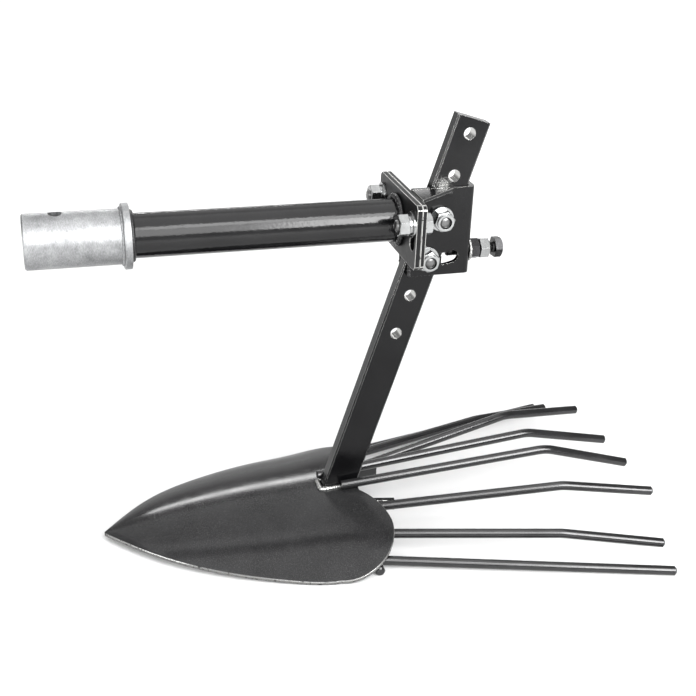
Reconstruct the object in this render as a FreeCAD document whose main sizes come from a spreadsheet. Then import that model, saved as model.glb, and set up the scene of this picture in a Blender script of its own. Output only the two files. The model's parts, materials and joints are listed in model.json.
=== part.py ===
# Potato plough for a two-wheeled tractor, in millimetres.
# A round drawbar ends in a flange that lets the tool roll about it. The flange carries a bent
# bracket in which a flat shank pivots, and the shank carries a domed heart-shaped share with
# eight fanned tines behind it.
# Row frame: origin on the drawbar's axis at the coupling's shoulder, +X to the rear, +Z up.
import FreeCAD, Part
import Sketcher
import math
import os
import re
from FreeCAD import Placement, Rotation, Vector

os.makedirs("parts", exist_ok=True)
doc = FreeCAD.newDocument("PotatoPlough")

# Driving dimensions
SIZES = [
    # Drawbar and coupling
    ("drawbar_pitch", 0.81),
    ("tube_diameter", 42.4),
    ("tube_wall", 3.2),
    ("tube_visible_length", 261.0),
    ("tube_inset", 3.0),
    ("sleeve_wall", 4.65),
    ("sleeve_length", 89.0),
    ("sleeve_chamfer", 1.5),
    ("sleeve_fit", 0.15),
    ("collar_rise", 5.0),
    ("collar_thickness", 7.0),
    ("pin_hole_diameter", 12.5),
    ("pin_hole_inset", 30.3),
    # Flange plates and the roll adjustment
    ("plate_width", 119.0),
    ("plate_height", 65.0),
    ("plate_thickness", 5.0),
    ("plate_corner", 4.0),
    ("roll_limit", 8.0),
    ("roll_slot_reach", 23.0),
    ("flange_bolt_offset", 47.0),
    ("flange_bolt_rise", 10.8),
    # Fasteners
    ("bolt_diameter", 12.0),
    ("hex_flats", 19.0),
    ("head_thickness", 8.0),
    ("nut_thickness", 10.0),
    ("lock_collar_height", 2.5),
    ("lock_collar_diameter", 16.6),
    ("washer_diameter", 25.0),
    ("washer_thickness", 2.5),
    ("spring_washer_diameter", 20.5),
    ("spring_washer_thickness", 3.0),
    ("spring_washer_split", 2.0),
    ("washer_fit", 0.4),
    ("running_fit", 0.08),
    ("bolt_overhang", 2.0),
    # Bracket
    ("strap_thickness", 5.0),
    ("strap_top", 34.0),
    ("strap_bottom", 57.0),
    ("strap_corner", 6.0),
    ("shank_side_gap", 0.5),
    ("shank_rear_gap", 1.2),
    ("far_leg_cut_length", 46.0),
    ("far_leg_cut_depth", 11.0),
    ("far_window_rise", 15.5),
    ("far_window_slope", 4.0),
    ("gusset_thickness", 4.0),
    ("gusset_length", 43.0),
    ("gusset_reach", 31.0),
    ("slot_play", 0.5),
    ("clamp_slot_sweep", 37.0),
    ("screw_height", 36.0),
    ("screw_tip_gap", 5.5),
    ("screw_boss_thickness", 12.0),
    ("lock_nut_gap", 1.0),
    ("screw_free_length", 6.0),
    # Shank
    ("shank_width", 35.7),
    ("shank_thickness", 14.7),
    ("shank_edge", 1.5),
    ("shank_lean", 17.17),
    ("shank_top", 101.4),
    ("hole_pitch", 43.3),
    ("pivot_setback", 41.4),
    ("pivot_rise", 2.9),
    ("pivot_height", 344.0),
    ("shank_foot_height", 28.0),
    # Share
    ("share_thickness", 3.6),
    ("share_slot_gap", 0.3),
    ("lobe_start", -15.6),
    ("lobe_rear", 52.4),
    ("lobe_rear_half_width", 71.0),
    ("notch_depth_half_width", 19.0),
    # Tines and tie bar
    ("tine_diameter", 10.0),
    ("tine_bend_radius", 52.0),
    ("tine_chamfer", 1.8),
    ("tine_seat_gap", 0.3),
    ("tine_hidden_length", 42.0),
    ("stay_length", 50.0),
    ("stay_width", 6.0),
    ("stay_height", 12.0),
    ("stay_overhang", 22.0),
    ("tie_bar_diameter", 10.0),
    ("tie_bar_station", 27.0),
    ("tie_bar_inset", 4.8),
    ("tie_bar_chamfer", 1.5),
]

# Cross sections of the share's dome: station, half width, lower rim height, rise of the crown
SHARE_SECTIONS = [
    (-239.6, 1.5, 6.4, 0.5),
    (-185.6, 55.5, 7.0, 11.9),
    (-125.6, 91.0, 4.0, 22.9),
    (-65.6, 113.5, 1.2, 30.7),
    (-15.6, 123.8, 0.6, 34.3),
    (23.4, 124.0, 7.0, 30.4),
    (80.0, 124.0, 14.0, 25.4),
]

# Tines: name, seat on the share, where it leaves the share, its bend and its end
TINES = [
    ("tine_left_outer", "bar", (34.0, -104.0, 8.2), None, (330.0, -180.4, 5.0)),
    ("tine_left_second", "under", (52.0, -80.0), (223.7, -124.3, 28.6), (329.7, -151.6, 19.9)),
    ("tine_left_third", "under", (48.0, -39.5), (243.6, -75.2, 54.5), (342.8, -94.0, 46.7)),
    ("tine_left_inner", "over", (12.0, -13.2), (245.6, -22.5, 69.5), (347.5, -26.7, 42.1)),
    ("tine_right_inner", "over", (-8.0, 13.2), (243.0, 22.3, 65.3), (347.5, 26.7, 42.1)),
    ("tine_right_third", "under", (48.0, 39.5), (237.2, 74.0, 60.5), (342.8, 94.0, 46.7)),
    ("tine_right_second", "under", (52.0, 80.0), (223.7, 124.3, 28.6), (329.7, 151.6, 19.9)),
    ("tine_right_outer", "bar", (34.0, 104.0, 8.2), None, (330.0, 180.4, 5.0)),
]

sheet = doc.addObject("Spreadsheet::Sheet", "Sizes")
size = {}


def add_size(row, alias, number):
    """Write one dimension and its alias on the sheet."""
    sheet.set(f"A{row}", alias)
    sheet.set(f"B{row}", str(number))
    sheet.setAlias(f"B{row}", alias)
    size[alias] = number


for row, (alias, number) in enumerate(SIZES, start=1):
    add_size(row, alias, number)
for index, section in enumerate(SHARE_SECTIONS):
    for offset, (word, number) in enumerate(zip(("station", "half", "rim", "rise"), section)):
        add_size(len(SIZES) + 1 + 4 * index + offset, f"share_{word}_{'abcdefg'[index]}", number)
doc.recompute()

# Lengths that follow from the driving dimensions
tube_radius = size["tube_diameter"] / 2
flange_face = size["collar_thickness"] + size["tube_visible_length"]
strap_front = flange_face + 2 * size["plate_thickness"]
strap_inner = size["shank_thickness"] / 2 + size["shank_side_gap"]
strap_outer = strap_inner + size["strap_thickness"]
pivot_x = flange_face + size["pivot_setback"]
pivot_z = size["pivot_rise"]
lean = math.radians(size["shank_lean"])
lean_to_floor = size["shank_lean"] - size["drawbar_pitch"]
shank_half_slant = size["shank_width"] / 2 / math.cos(lean)
strap_rear_inner = (
    pivot_x + shank_half_slant + (size["strap_top"] - pivot_z) * math.tan(lean) + size["shank_rear_gap"]
)
strap_rear_outer = strap_rear_inner + size["strap_thickness"]
bolt_radius = size["bolt_diameter"] / 2
bolt_hole_radius = bolt_radius + size["running_fit"]
slot_half_width = bolt_radius + size["slot_play"]
screw_z = -size["screw_height"]
screw_tip = (
    pivot_x + shank_half_slant + (screw_z - pivot_z) * math.tan(lean) + size["screw_tip_gap"]
)
lock_nut_front = strap_rear_outer + size["screw_boss_thickness"] + size["lock_nut_gap"]
screw_head = lock_nut_front + size["nut_thickness"] + size["screw_free_length"]
tine_radius = size["tine_diameter"] / 2

# Frames: the drawbar's pitch, the shank's lean, and the floor under the shank's axis
drawbar_frame = Placement(Vector(), Rotation(Vector(0, 1, 0), -size["drawbar_pitch"]))
pivot_frame = drawbar_frame.multiply(
    Placement(Vector(pivot_x, 0, pivot_z), Rotation(Vector(0, 1, 0), size["shank_lean"]))
)
shank_drop = size["pivot_height"] / math.cos(math.radians(lean_to_floor))
floor_point = pivot_frame.multVec(Vector(0, 0, -shank_drop))
ground_frame = Placement(floor_point, Rotation())

parts = []


def keep(obj, label, placement):
    """Name a finished sub-part and put it in its place."""
    obj.Label = label
    obj.Placement = placement
    parts.append(obj)
    return obj


def cells(text):
    """Turn the alias words of a formula into references to the sheet."""
    return re.sub(r"[a-z]\w*", lambda word: "Sizes." * (word[0] in size) + word[0], text)


def body_named(name):
    return doc.addObject("PartDesign::Body", name)


def sketch_on(body, name, role, offset=None):
    """Add a sketch on one of the body's origin planes, moved along its normal or placed."""
    sketch = body.newObject("Sketcher::SketchObject", name)
    plane = [item for item in body.Origin.OriginFeatures if item.Role == role][0]
    sketch.AttachmentSupport = [(plane, "")]
    sketch.MapMode = "FlatFace"
    if isinstance(offset, str):
        sketch.setExpression("AttachmentOffset.Base.z", cells(offset))
    elif offset is not None:
        sketch.AttachmentOffset = offset
    return sketch


def tie(sketch, kind, geometry, point, formula):
    """Hold one point of a sketch at a formula's distance from the origin."""
    index = sketch.addConstraint(Sketcher.Constraint(kind, geometry, point, 1.0))
    sketch.setExpression(f"Constraints[{index}]", cells(formula))


def polygon(sketch, points):
    """Draw a closed outline whose corners are pairs of formulas."""
    first = sketch.GeometryCount
    count = len(points)
    spots = []
    for corner in range(count):
        turn = 2 * math.pi * corner / count
        spots.append(Vector(math.cos(turn), math.sin(turn), 0))
    for corner in range(count):
        sketch.addGeometry(Part.LineSegment(spots[corner], spots[(corner + 1) % count]), False)
    for corner in range(count):
        following = first + (corner + 1) % count
        sketch.addConstraint(Sketcher.Constraint("Coincident", first + corner, 2, following, 1))
    for corner, (across, along) in enumerate(points):
        tie(sketch, "DistanceX", first + corner, 1, across)
        tie(sketch, "DistanceY", first + corner, 1, along)


def circle(sketch, across, along, radius):
    """Draw a circle whose centre and radius are formulas."""
    index = sketch.addGeometry(Part.Circle(Vector(1, 1, 0), Vector(0, 0, 1), 1), False)
    tie(sketch, "DistanceX", index, 3, across)
    tie(sketch, "DistanceY", index, 3, along)
    row = sketch.addConstraint(Sketcher.Constraint("Radius", index, 1.0))
    sketch.setExpression(f"Constraints[{row}]", cells(radius))


def arc_slot(sketch, centre, radius, middle, half_angle, half_width):
    """Draw a slot bent about a centre; angles in degrees from the sketch's X axis."""
    low = math.radians(middle - half_angle)
    high = math.radians(middle + half_angle)
    normal = Vector(0, 0, 1)

    def at(angle, distance):
        return centre + Vector(math.cos(angle), math.sin(angle), 0) * distance

    def bow(middle_point, bow_radius, start, end):
        ring = Part.Circle(middle_point, normal, bow_radius)
        return sketch.addGeometry(Part.ArcOfCircle(ring, start, end), False)

    outer = bow(centre, radius + half_width, low, high)
    end_cap = bow(at(high, radius), half_width, high, high + math.pi)
    inner = bow(centre, radius - half_width, low, high)
    start_cap = bow(at(low, radius), half_width, low + math.pi, low + 2 * math.pi)
    sketch.addConstraint(Sketcher.Constraint("Coincident", outer, 2, end_cap, 1))
    sketch.addConstraint(Sketcher.Constraint("Coincident", end_cap, 2, inner, 2))
    sketch.addConstraint(Sketcher.Constraint("Coincident", inner, 1, start_cap, 1))
    sketch.addConstraint(Sketcher.Constraint("Coincident", start_cap, 2, outer, 1))


def pad(body, name, sketch, length):
    feature = body.newObject("PartDesign::Pad", name)
    feature.Profile = sketch
    feature.setExpression("Length", cells(length))
    return feature


def cut_through(body, name, sketch):
    feature = body.newObject("PartDesign::Pocket", name)
    feature.Profile = sketch
    feature.Type = "ThroughAll"
    feature.Midplane = True
    return feature


def revolve(body, name, sketch):
    feature = body.newObject("PartDesign::Revolution", name)
    feature.Profile = sketch
    feature.ReferenceAxis = (sketch, ["H_Axis"])
    feature.Angle = 360.0
    return feature


def edges_where(feature, test):
    """Names of a feature's edges whose centre and direction pass a test."""
    doc.recompute()
    names = []
    for index, edge in enumerate(feature.Shape.Edges, start=1):
        if test(edge):
            names.append(f"Edge{index}")
    return names


def dress(body, kind, name, feature, names, amount):
    """Fillet or chamfer the named edges."""
    result = body.newObject(f"PartDesign::{kind}", name)
    result.Base = (feature, names)
    result.setExpression("Radius" if kind == "Fillet" else "Size", cells(amount))
    return result


# Drawbar, sleeve and collar: turned rings on the drawbar's axis
def ring(name, start, end, bore, outside, chamfer):
    """A turned ring from start to end, with its outer front corner chamfered."""
    body = body_named(name)
    sketch = sketch_on(body, name + "_section", "XZ_Plane")
    corners = [
        (start, bore),
        (start, f"{outside} - {chamfer}"),
        (f"{start} + {chamfer}", outside),
        (end, outside),
        (end, bore),
    ]
    polygon(sketch, corners)
    revolve(body, name + "_turning", sketch)
    return body


def pin_hole(body, name):
    """The coupling pin's hole, from top to bottom."""
    sketch = sketch_on(body, name + "_pin_hole_sketch", "XY_Plane")
    circle(sketch, "pin_hole_inset - sleeve_length", "0", "pin_hole_diameter / 2")
    cut_through(body, name + "_pin_hole", sketch)


sleeve = ring(
    "coupling_sleeve",
    "0 - sleeve_length",
    "0",
    "tube_diameter / 2 + sleeve_fit",
    "tube_diameter / 2 + sleeve_fit + sleeve_wall",
    "sleeve_chamfer",
)
pin_hole(sleeve, "sleeve")
keep(sleeve, "coupling_sleeve", drawbar_frame)

collar = ring(
    "coupling_collar",
    "0",
    "collar_thickness",
    "tube_diameter / 2 + sleeve_fit",
    "tube_diameter / 2 + sleeve_fit + sleeve_wall + collar_rise",
    "sleeve_chamfer / 2",
)
keep(collar, "coupling_collar", drawbar_frame)

tube = ring(
    "drawbar_tube",
    "tube_inset - sleeve_length",
    "collar_thickness + tube_visible_length",
    "tube_diameter / 2 - tube_wall",
    "tube_diameter / 2",
    "sleeve_chamfer / 3",
)
pin_hole(tube, "tube")
keep(tube, "drawbar_tube", drawbar_frame)


# Flange plates: the front one has bent slots about the drawbar's axis, the rear one round holes
def flange_plate(name, start):
    body = body_named(name)
    sketch = sketch_on(body, name + "_outline", "YZ_Plane", start)
    wide = "plate_width / 2"
    high = "plate_height / 2"
    cut = "plate_corner"
    corners = []
    for across, along in (("-", "-"), ("", "-"), ("", ""), ("-", "")):
        side = f"{wide}" if across == "" else f"0 - {wide}"
        side_in = f"{wide} - {cut}" if across == "" else f"{cut} - {wide}"
        level = f"{high}" if along == "" else f"0 - {high}"
        level_in = f"{high} - {cut}" if along == "" else f"{cut} - {high}"
        pair = [(side, level_in), (side_in, level)]
        # going round the plate, every second corner is met the other way about
        corners += pair if (across == "") != (along == "-") else pair[::-1]
    polygon(sketch, corners)
    pad(body, name + "_plate", sketch, "plate_thickness")
    return body


front_plate = flange_plate("front_flange_plate", "collar_thickness + tube_visible_length")
slots = sketch_on(front_plate, "roll_slots_sketch", "YZ_Plane")
bolt_circle = math.hypot(size["flange_bolt_offset"], size["flange_bolt_rise"])
bolt_angle = math.degrees(math.atan2(size["flange_bolt_rise"], size["flange_bolt_offset"]))
slot_middle = bolt_angle + (size["roll_limit"] - size["roll_slot_reach"]) / 2
slot_sweep = (size["roll_limit"] + size["roll_slot_reach"]) / 2
for middle in (slot_middle, 180 - slot_middle):
    arc_slot(slots, Vector(), bolt_circle, middle, slot_sweep, slot_half_width)
cut_through(front_plate, "roll_slots", slots)
keep(front_plate, "front_flange_plate", drawbar_frame)

rear_plate = flange_plate(
    "rear_flange_plate", "collar_thickness + tube_visible_length + plate_thickness"
)
holes = sketch_on(rear_plate, "flange_holes_sketch", "YZ_Plane")
for side in ("flange_bolt_offset", "0 - flange_bolt_offset"):
    circle(holes, side, "flange_bolt_rise", "bolt_diameter / 2 + running_fit")
cut_through(rear_plate, "flange_holes", holes)
keep(rear_plate, "rear_flange_plate", drawbar_frame)

# Bracket: a strap bent round behind the shank, its legs welded to the rear flange plate
bracket = body_named("shank_bracket")
plan = sketch_on(
    bracket, "strap_plan", "XY_Plane", Placement(Vector(0, 0, -size["strap_bottom"]), Rotation())
)
strap_points = [
    Vector(strap_front, -strap_outer, 0),
    Vector(strap_rear_outer, -strap_outer, 0),
    Vector(strap_rear_outer, strap_outer, 0),
    Vector(strap_front, strap_outer, 0),
    Vector(strap_front, strap_inner, 0),
    Vector(strap_rear_inner, strap_inner, 0),
    Vector(strap_rear_inner, -strap_inner, 0),
    Vector(strap_front, -strap_inner, 0),
]
for corner, point in enumerate(strap_points):
    following = strap_points[(corner + 1) % len(strap_points)]
    plan.addGeometry(Part.LineSegment(point, following), False)
for corner in range(len(strap_points)):
    following = (corner + 1) % len(strap_points)
    plan.addConstraint(Sketcher.Constraint("Coincident", corner, 2, following, 1))
strap = pad(bracket, "strap", plan, "strap_bottom + strap_top")
bends = edges_where(
    strap,
    lambda edge: abs(edge.Length - size["strap_bottom"] - size["strap_top"]) < 0.01
    and abs(edge.CenterOfMass.x - strap_rear_outer) < 0.01,
)
rounded = dress(bracket, "Fillet", "strap_bends", strap, bends, "strap_corner")

side = sketch_on(bracket, "bracket_holes_sketch", "XZ_Plane")
circle(
    side,
    "collar_thickness + tube_visible_length + pivot_setback",
    "pivot_rise",
    "bolt_diameter / 2 + running_fit",
)
arc_slot(
    side,
    Vector(pivot_x, pivot_z, 0),
    size["hole_pitch"],
    -90 - size["shank_lean"] + size["clamp_slot_sweep"] / 2,
    size["clamp_slot_sweep"] / 2,
    slot_half_width,
)
cut_through(bracket, "bracket_holes", side)

screw_sketch = sketch_on(bracket, "screw_hole_sketch", "YZ_Plane")
circle(screw_sketch, "0", "0 - screw_height", "bolt_diameter / 2 + running_fit")
cut_through(bracket, "screw_hole", screw_sketch)

leg_cut = sketch_on(
    bracket, "far_leg_cut_sketch", "XZ_Plane", Placement(Vector(0, 0, -strap_outer - 1), Rotation())
)
cut_top = size["strap_top"] + 1
cut_points = [
    Vector(strap_front - 1, size["strap_top"] - size["far_leg_cut_depth"], 0),
    Vector(strap_front + size["far_leg_cut_length"] / 2, size["strap_top"] - size["far_leg_cut_depth"], 0),
    Vector(strap_front + size["far_leg_cut_length"], cut_top, 0),
    Vector(strap_front - 1, cut_top, 0),
]
for corner, point in enumerate(cut_points):
    leg_cut.addGeometry(Part.LineSegment(point, cut_points[(corner + 1) % len(cut_points)]), False)
for corner in range(len(cut_points)):
    following = (corner + 1) % len(cut_points)
    leg_cut.addConstraint(Sketcher.Constraint("Coincident", corner, 2, following, 1))
doc.recompute()
whole_volume = bracket.Shape.Volume
leg_pocket = bracket.newObject("PartDesign::Pocket", "far_leg_cut")
leg_pocket.Profile = leg_cut
leg_pocket.Length = size["strap_thickness"] + 1.5
leg_pocket.Reversed = True
doc.recompute()
if bracket.Shape.Volume > whole_volume - 1:
    leg_pocket.Reversed = False
    doc.recompute()

# The far leg's slot is open to the rear corner below it
slot_end = math.radians(-90 - size["shank_lean"] + size["clamp_slot_sweep"])
slot_end_x = pivot_x + size["hole_pitch"] * math.cos(slot_end)
slot_end_z = pivot_z + size["hole_pitch"] * math.sin(slot_end)
window_top = size["far_window_rise"] - size["strap_bottom"]
window = sketch_on(
    bracket, "far_window_sketch", "XZ_Plane", Placement(Vector(0, 0, -strap_outer - 1), Rotation())
)
window_points = [
    Vector(slot_end_x - slot_half_width / 2, -size["strap_bottom"] - 1, 0),
    Vector(slot_end_x - slot_half_width / 2, slot_end_z - slot_half_width / 3, 0),
    Vector(slot_end_x + slot_half_width / 6, slot_end_z - slot_half_width / 3, 0),
    Vector(slot_end_x + slot_half_width / 2, window_top, 0),
    Vector(strap_rear_outer + 1, window_top - size["far_window_slope"], 0),
    Vector(strap_rear_outer + 1, -size["strap_bottom"] - 1, 0),
]
for corner, point in enumerate(window_points):
    following = (corner + 1) % len(window_points)
    window.addGeometry(Part.LineSegment(point, window_points[following]), False)
for corner in range(len(window_points)):
    following = (corner + 1) % len(window_points)
    window.addConstraint(Sketcher.Constraint("Coincident", corner, 2, following, 1))
doc.recompute()
whole_volume = bracket.Shape.Volume
window_pocket = bracket.newObject("PartDesign::Pocket", "far_window")
window_pocket.Profile = window
window_pocket.Length = size["strap_thickness"] + 1.5
window_pocket.Reversed = True
doc.recompute()
if bracket.Shape.Volume > whole_volume - 1:
    window_pocket.Reversed = False
    doc.recompute()
keep(bracket, "shank_bracket", drawbar_frame)

gusset = body_named("bracket_gusset")
corner_sketch = sketch_on(gusset, "gusset_outline", "XY_Plane", "strap_top - gusset_thickness")
front = "collar_thickness + tube_visible_length + 2 * plate_thickness"
leg_face = "0 - shank_thickness / 2 - shank_side_gap - strap_thickness"
polygon(
    corner_sketch,
    [(front, leg_face), (front, leg_face + " - gusset_reach"), (front + " + gusset_length", leg_face)],
)
pad(gusset, "gusset_plate", corner_sketch, "gusset_thickness")
keep(gusset, "bracket_gusset", drawbar_frame)


# Fasteners, drawn along +Z from their bearing face at the origin
def prism(name, height, base=0.0):
    solid = doc.addObject("Part::Prism", name)
    solid.Polygon = 6
    solid.setExpression("Circumradius", cells("hex_flats / 2 / cos(30)"))
    solid.setExpression("Height", cells(height))
    solid.Placement = Placement(Vector(0, 0, base), Rotation())
    return solid


def cylinder(name, radius, height, base=0.0):
    solid = doc.addObject("Part::Cylinder", name)
    solid.setExpression("Radius", cells(radius))
    solid.setExpression("Height", cells(height))
    solid.Placement = Placement(Vector(0, 0, base), Rotation())
    return solid


def crown_cone(name, height):
    """The cone that rounds a hexagon's outer corners."""
    solid = doc.addObject("Part::Cone", name)
    solid.setExpression("Radius1", cells(f"hex_flats * 0.47 + {height} / tan(30)"))
    solid.setExpression("Radius2", cells("hex_flats * 0.47"))
    solid.setExpression("Height", cells(height))
    return solid


def joined(kind, name, shapes):
    """Boolean of two solids, or of several for a fuse."""
    result = doc.addObject(f"Part::{kind}", name)
    if kind == "MultiFuse":
        result.Shapes = shapes
    else:
        result.Base, result.Tool = shapes
    return result


def hexagon(name, height):
    return joined("Common", name, (prism(name + "_prism", height), crown_cone(name + "_cone", height)))


def hex_bolt(label, length, placement):
    """Head above the origin, shaft below it."""
    head = hexagon(label + "_head", "head_thickness")
    shaft = doc.addObject("Part::Cylinder", label + "_shaft")
    shaft.setExpression("Radius", cells("bolt_diameter / 2"))
    shaft.Height = length
    shaft.Placement = Placement(Vector(0, 0, -length), Rotation())
    return keep(joined("MultiFuse", label, [head, shaft]), label, placement)


def hex_nut(label, placement, height="nut_thickness", collar=False):
    """Bearing face at the origin, outer face above it."""
    blank = hexagon(label + "_hexagon", height)
    if collar:
        ring_part = cylinder(
            label + "_collar", "lock_collar_diameter / 2", "lock_collar_height", size[height]
        )
        blank = joined("MultiFuse", label + "_blank", [blank, ring_part])
        height = height + " + lock_collar_height"
    bore = cylinder(label + "_bore", "bolt_diameter / 2 + running_fit", height + " + 2", -1.0)
    return keep(joined("Cut", label, (blank, bore)), label, placement)


def washer(label, placement, outside="washer_diameter", thick="washer_thickness"):
    """Lower face at the origin."""
    disc = cylinder(label + "_disc", outside + " / 2", thick)
    bore = cylinder(label + "_bore", "bolt_diameter / 2 + washer_fit", thick + " + 2", -1.0)
    return joined("Cut", label, (disc, bore)), placement


def flat_washer(label, placement):
    solid, place = washer(label, placement)
    return keep(solid, label, place)


def spring_washer(label, placement):
    """A thick ring with a slanted split."""
    solid, place = washer(
        label + "_ring", placement, "spring_washer_diameter", "spring_washer_thickness"
    )
    split = doc.addObject("Part::Box", label + "_gap")
    split.setExpression("Length", cells("spring_washer_diameter"))
    split.setExpression("Width", cells("spring_washer_split"))
    split.Height = size["spring_washer_thickness"] * 3
    split.Placement = Placement(
        Vector(0, 0, -size["spring_washer_thickness"]), Rotation(Vector(1, 0, 0), 20)
    )
    return keep(joined("Cut", label, (solid, split)), label, place)


def along(direction, point, frame, turn=0.0):
    """Placement that turns +Z to a direction at a point of a frame."""
    spin = Rotation(Vector(0, 0, 1), turn)
    aim = Rotation(Vector(0, 0, 1), direction).multiply(spin)
    return frame.multiply(Placement(point, aim))


forward = Vector(-1, 0, 0)
backward = Vector(1, 0, 0)
near = Vector(0, -1, 0)
far = Vector(0, 1, 0)

# Flange bolts: heads behind the rear plate, nuts and washers ahead of the front plate
stack = size["washer_thickness"] + size["spring_washer_thickness"] + size["nut_thickness"]
flange_bolt_length = 2 * size["plate_thickness"] + stack + size["bolt_overhang"]
for word, offset in (("left", -size["flange_bolt_offset"]), ("right", size["flange_bolt_offset"])):
    behind = Vector(strap_front, offset, size["flange_bolt_rise"])
    ahead = Vector(flange_face, offset, size["flange_bolt_rise"])
    hex_bolt(f"flange_bolt_{word}", flange_bolt_length, along(backward, behind, drawbar_frame))
    flat_washer(f"flange_washer_{word}", along(forward, ahead, drawbar_frame))
    ahead = ahead + forward * size["washer_thickness"]
    spring_washer(f"flange_spring_washer_{word}", along(forward, ahead, drawbar_frame))
    ahead = ahead + forward * size["spring_washer_thickness"]
    hex_nut(f"flange_nut_{word}", along(forward, ahead, drawbar_frame))

# Pivot and clamp bolts through bracket and shank: heads on the far side, lock nuts on the near
side_stack = 2 * strap_outer + 2 * size["washer_thickness"]
side_bolt_length = side_stack + size["nut_thickness"] + size["lock_collar_height"] / 2
shank_frame_flat = Rotation(Vector(0, 1, 0), size["shank_lean"])
clamp_point = Vector(pivot_x, 0, pivot_z) + shank_frame_flat.multVec(Vector(0, 0, -size["hole_pitch"]))
for word, point, turn in (("pivot", Vector(pivot_x, 0, pivot_z), 8.0), ("clamp", clamp_point, 20.0)):
    head_seat = point + far * (strap_outer + size["washer_thickness"])
    hex_bolt(f"{word}_bolt", side_bolt_length, along(far, head_seat, drawbar_frame, turn))
    flat_washer(f"{word}_washer_far", along(far, point + far * strap_outer, drawbar_frame))
    flat_washer(f"{word}_washer_near", along(near, point + near * strap_outer, drawbar_frame))
    nut_seat = point + near * (strap_outer + size["washer_thickness"])
    hex_nut(f"{word}_nut", along(near, nut_seat, drawbar_frame, turn), collar=True)

# Stop screw behind the bracket, its welded boss and its lock nut
boss_place = along(backward, Vector(strap_rear_outer, 0, screw_z), drawbar_frame)
hex_nut("stop_screw_boss", boss_place, "screw_boss_thickness")
lock_place = along(backward, Vector(lock_nut_front, 0, screw_z), drawbar_frame, 14.0)
hex_nut("stop_screw_lock_nut", lock_place)
screw_place = along(backward, Vector(screw_head, 0, screw_z), drawbar_frame, 25.0)
hex_bolt("stop_screw", screw_head - screw_tip, screw_place)

# Shank: a flat bar with a row of holes, drawn along its own axis with the pivot hole at the origin
foot_drop = shank_drop - size["shank_foot_height"] / math.cos(math.radians(lean_to_floor))
shank = body_named("shank")
bar = sketch_on(shank, "bar_side", "XZ_Plane", Placement(Vector(0, 0, -size["shank_thickness"] / 2), Rotation()))
half_width = size["shank_width"] / 2
foot_slant = half_width * math.tan(math.radians(lean_to_floor))
bar_points = [
    Vector(-half_width, -foot_drop - foot_slant, 0),
    Vector(half_width, -foot_drop + foot_slant, 0),
    Vector(half_width, size["shank_top"], 0),
    Vector(-half_width, size["shank_top"], 0),
]
for corner, point in enumerate(bar_points):
    bar.addGeometry(Part.LineSegment(point, bar_points[(corner + 1) % len(bar_points)]), False)
for corner in range(len(bar_points)):
    bar.addConstraint(Sketcher.Constraint("Coincident", corner, 2, (corner + 1) % len(bar_points), 1))
bar_pad = pad(shank, "bar", bar, "shank_thickness")
long_edges = edges_where(
    bar_pad, lambda edge: edge.Length > size["shank_top"] and abs(edge.CenterOfMass.x) > 1
)
dress(shank, "Chamfer", "bar_edges", bar_pad, long_edges, "shank_edge")
bar_holes = sketch_on(shank, "bar_holes_sketch", "XZ_Plane")
for number in range(-3, 3):
    circle(bar_holes, "0", f"{number} * hole_pitch", "bolt_diameter / 2 + running_fit")
cut_through(shank, "bar_holes", bar_holes)
keep(shank, "shank", pivot_frame)

# Share: a dome lofted through arched sections, trimmed to two round lobes behind
share = body_named("share")
sections = []
for letter in "abcdefg"[: len(SHARE_SECTIONS)]:
    half = size[f"share_half_{letter}"]
    rim = size[f"share_rim_{letter}"]
    high_rim = rim + size["share_thickness"]
    rise = size[f"share_rise_{letter}"]
    bow_radius = (half * half + rise * rise) / 2 / rise
    spread = math.asin(half / bow_radius)
    section = sketch_on(share, f"share_section_{letter}", "YZ_Plane", f"share_station_{letter}")
    top = high_rim + rise
    arcs = []
    for level in (top, top - size["share_thickness"]):
        ring_line = Part.Circle(Vector(0, level - bow_radius, 0), Vector(0, 0, 1), bow_radius)
        arc = Part.ArcOfCircle(ring_line, math.pi / 2 - spread, math.pi / 2 + spread)
        arcs.append(section.addGeometry(arc, False))
    outer, inner = arcs
    left = section.addGeometry(Part.LineSegment(Vector(-half, high_rim, 0), Vector(-half, rim, 0)), False)
    right = section.addGeometry(Part.LineSegment(Vector(half, rim, 0), Vector(half, high_rim, 0)), False)
    section.addConstraint(Sketcher.Constraint("Coincident", outer, 2, left, 1))
    section.addConstraint(Sketcher.Constraint("Coincident", left, 2, inner, 2))
    section.addConstraint(Sketcher.Constraint("Coincident", inner, 1, right, 1))
    section.addConstraint(Sketcher.Constraint("Coincident", right, 2, outer, 1))
    sections.append(section)
dome = share.newObject("PartDesign::AdditiveLoft", "dome")
dome.Profile = sections[0]
dome.Sections = sections[1:]
dome.Ruled = False

lobes = sketch_on(share, "lobe_outline", "XY_Plane")
widest = size["share_half_e"]
start = size["lobe_start"]
rear = size["lobe_rear"]
rear_half = size["lobe_rear_half_width"]
notch_half = size["notch_depth_half_width"]
lean_floor = math.radians(lean_to_floor)
notch_x = (
    (size["share_rim_f"] + size["share_thickness"] + size["share_rise_f"]) * math.tan(lean_floor)
    + half_width / math.cos(lean_floor)
    + size["share_slot_gap"]
)
beyond = 2 * widest
rear_limit = size["share_station_g"] + 5


def lobe(side):
    """The two arcs round one lobe, from its widest point to the notch."""
    bulge = Vector(start + 0.67 * (rear - start), side * (widest - 0.16 * (widest - rear_half)), 0)
    inside = Vector(
        notch_x + 0.68 * (rear - notch_x), side * (notch_half + 0.46 * (rear_half - notch_half)), 0
    )
    tip = Vector(rear, side * rear_half, 0)
    first = Part.Arc(Vector(start, side * widest, 0), bulge, tip)
    second = Part.Arc(tip, inside, Vector(notch_x, side * notch_half, 0))
    return first, second


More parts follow.
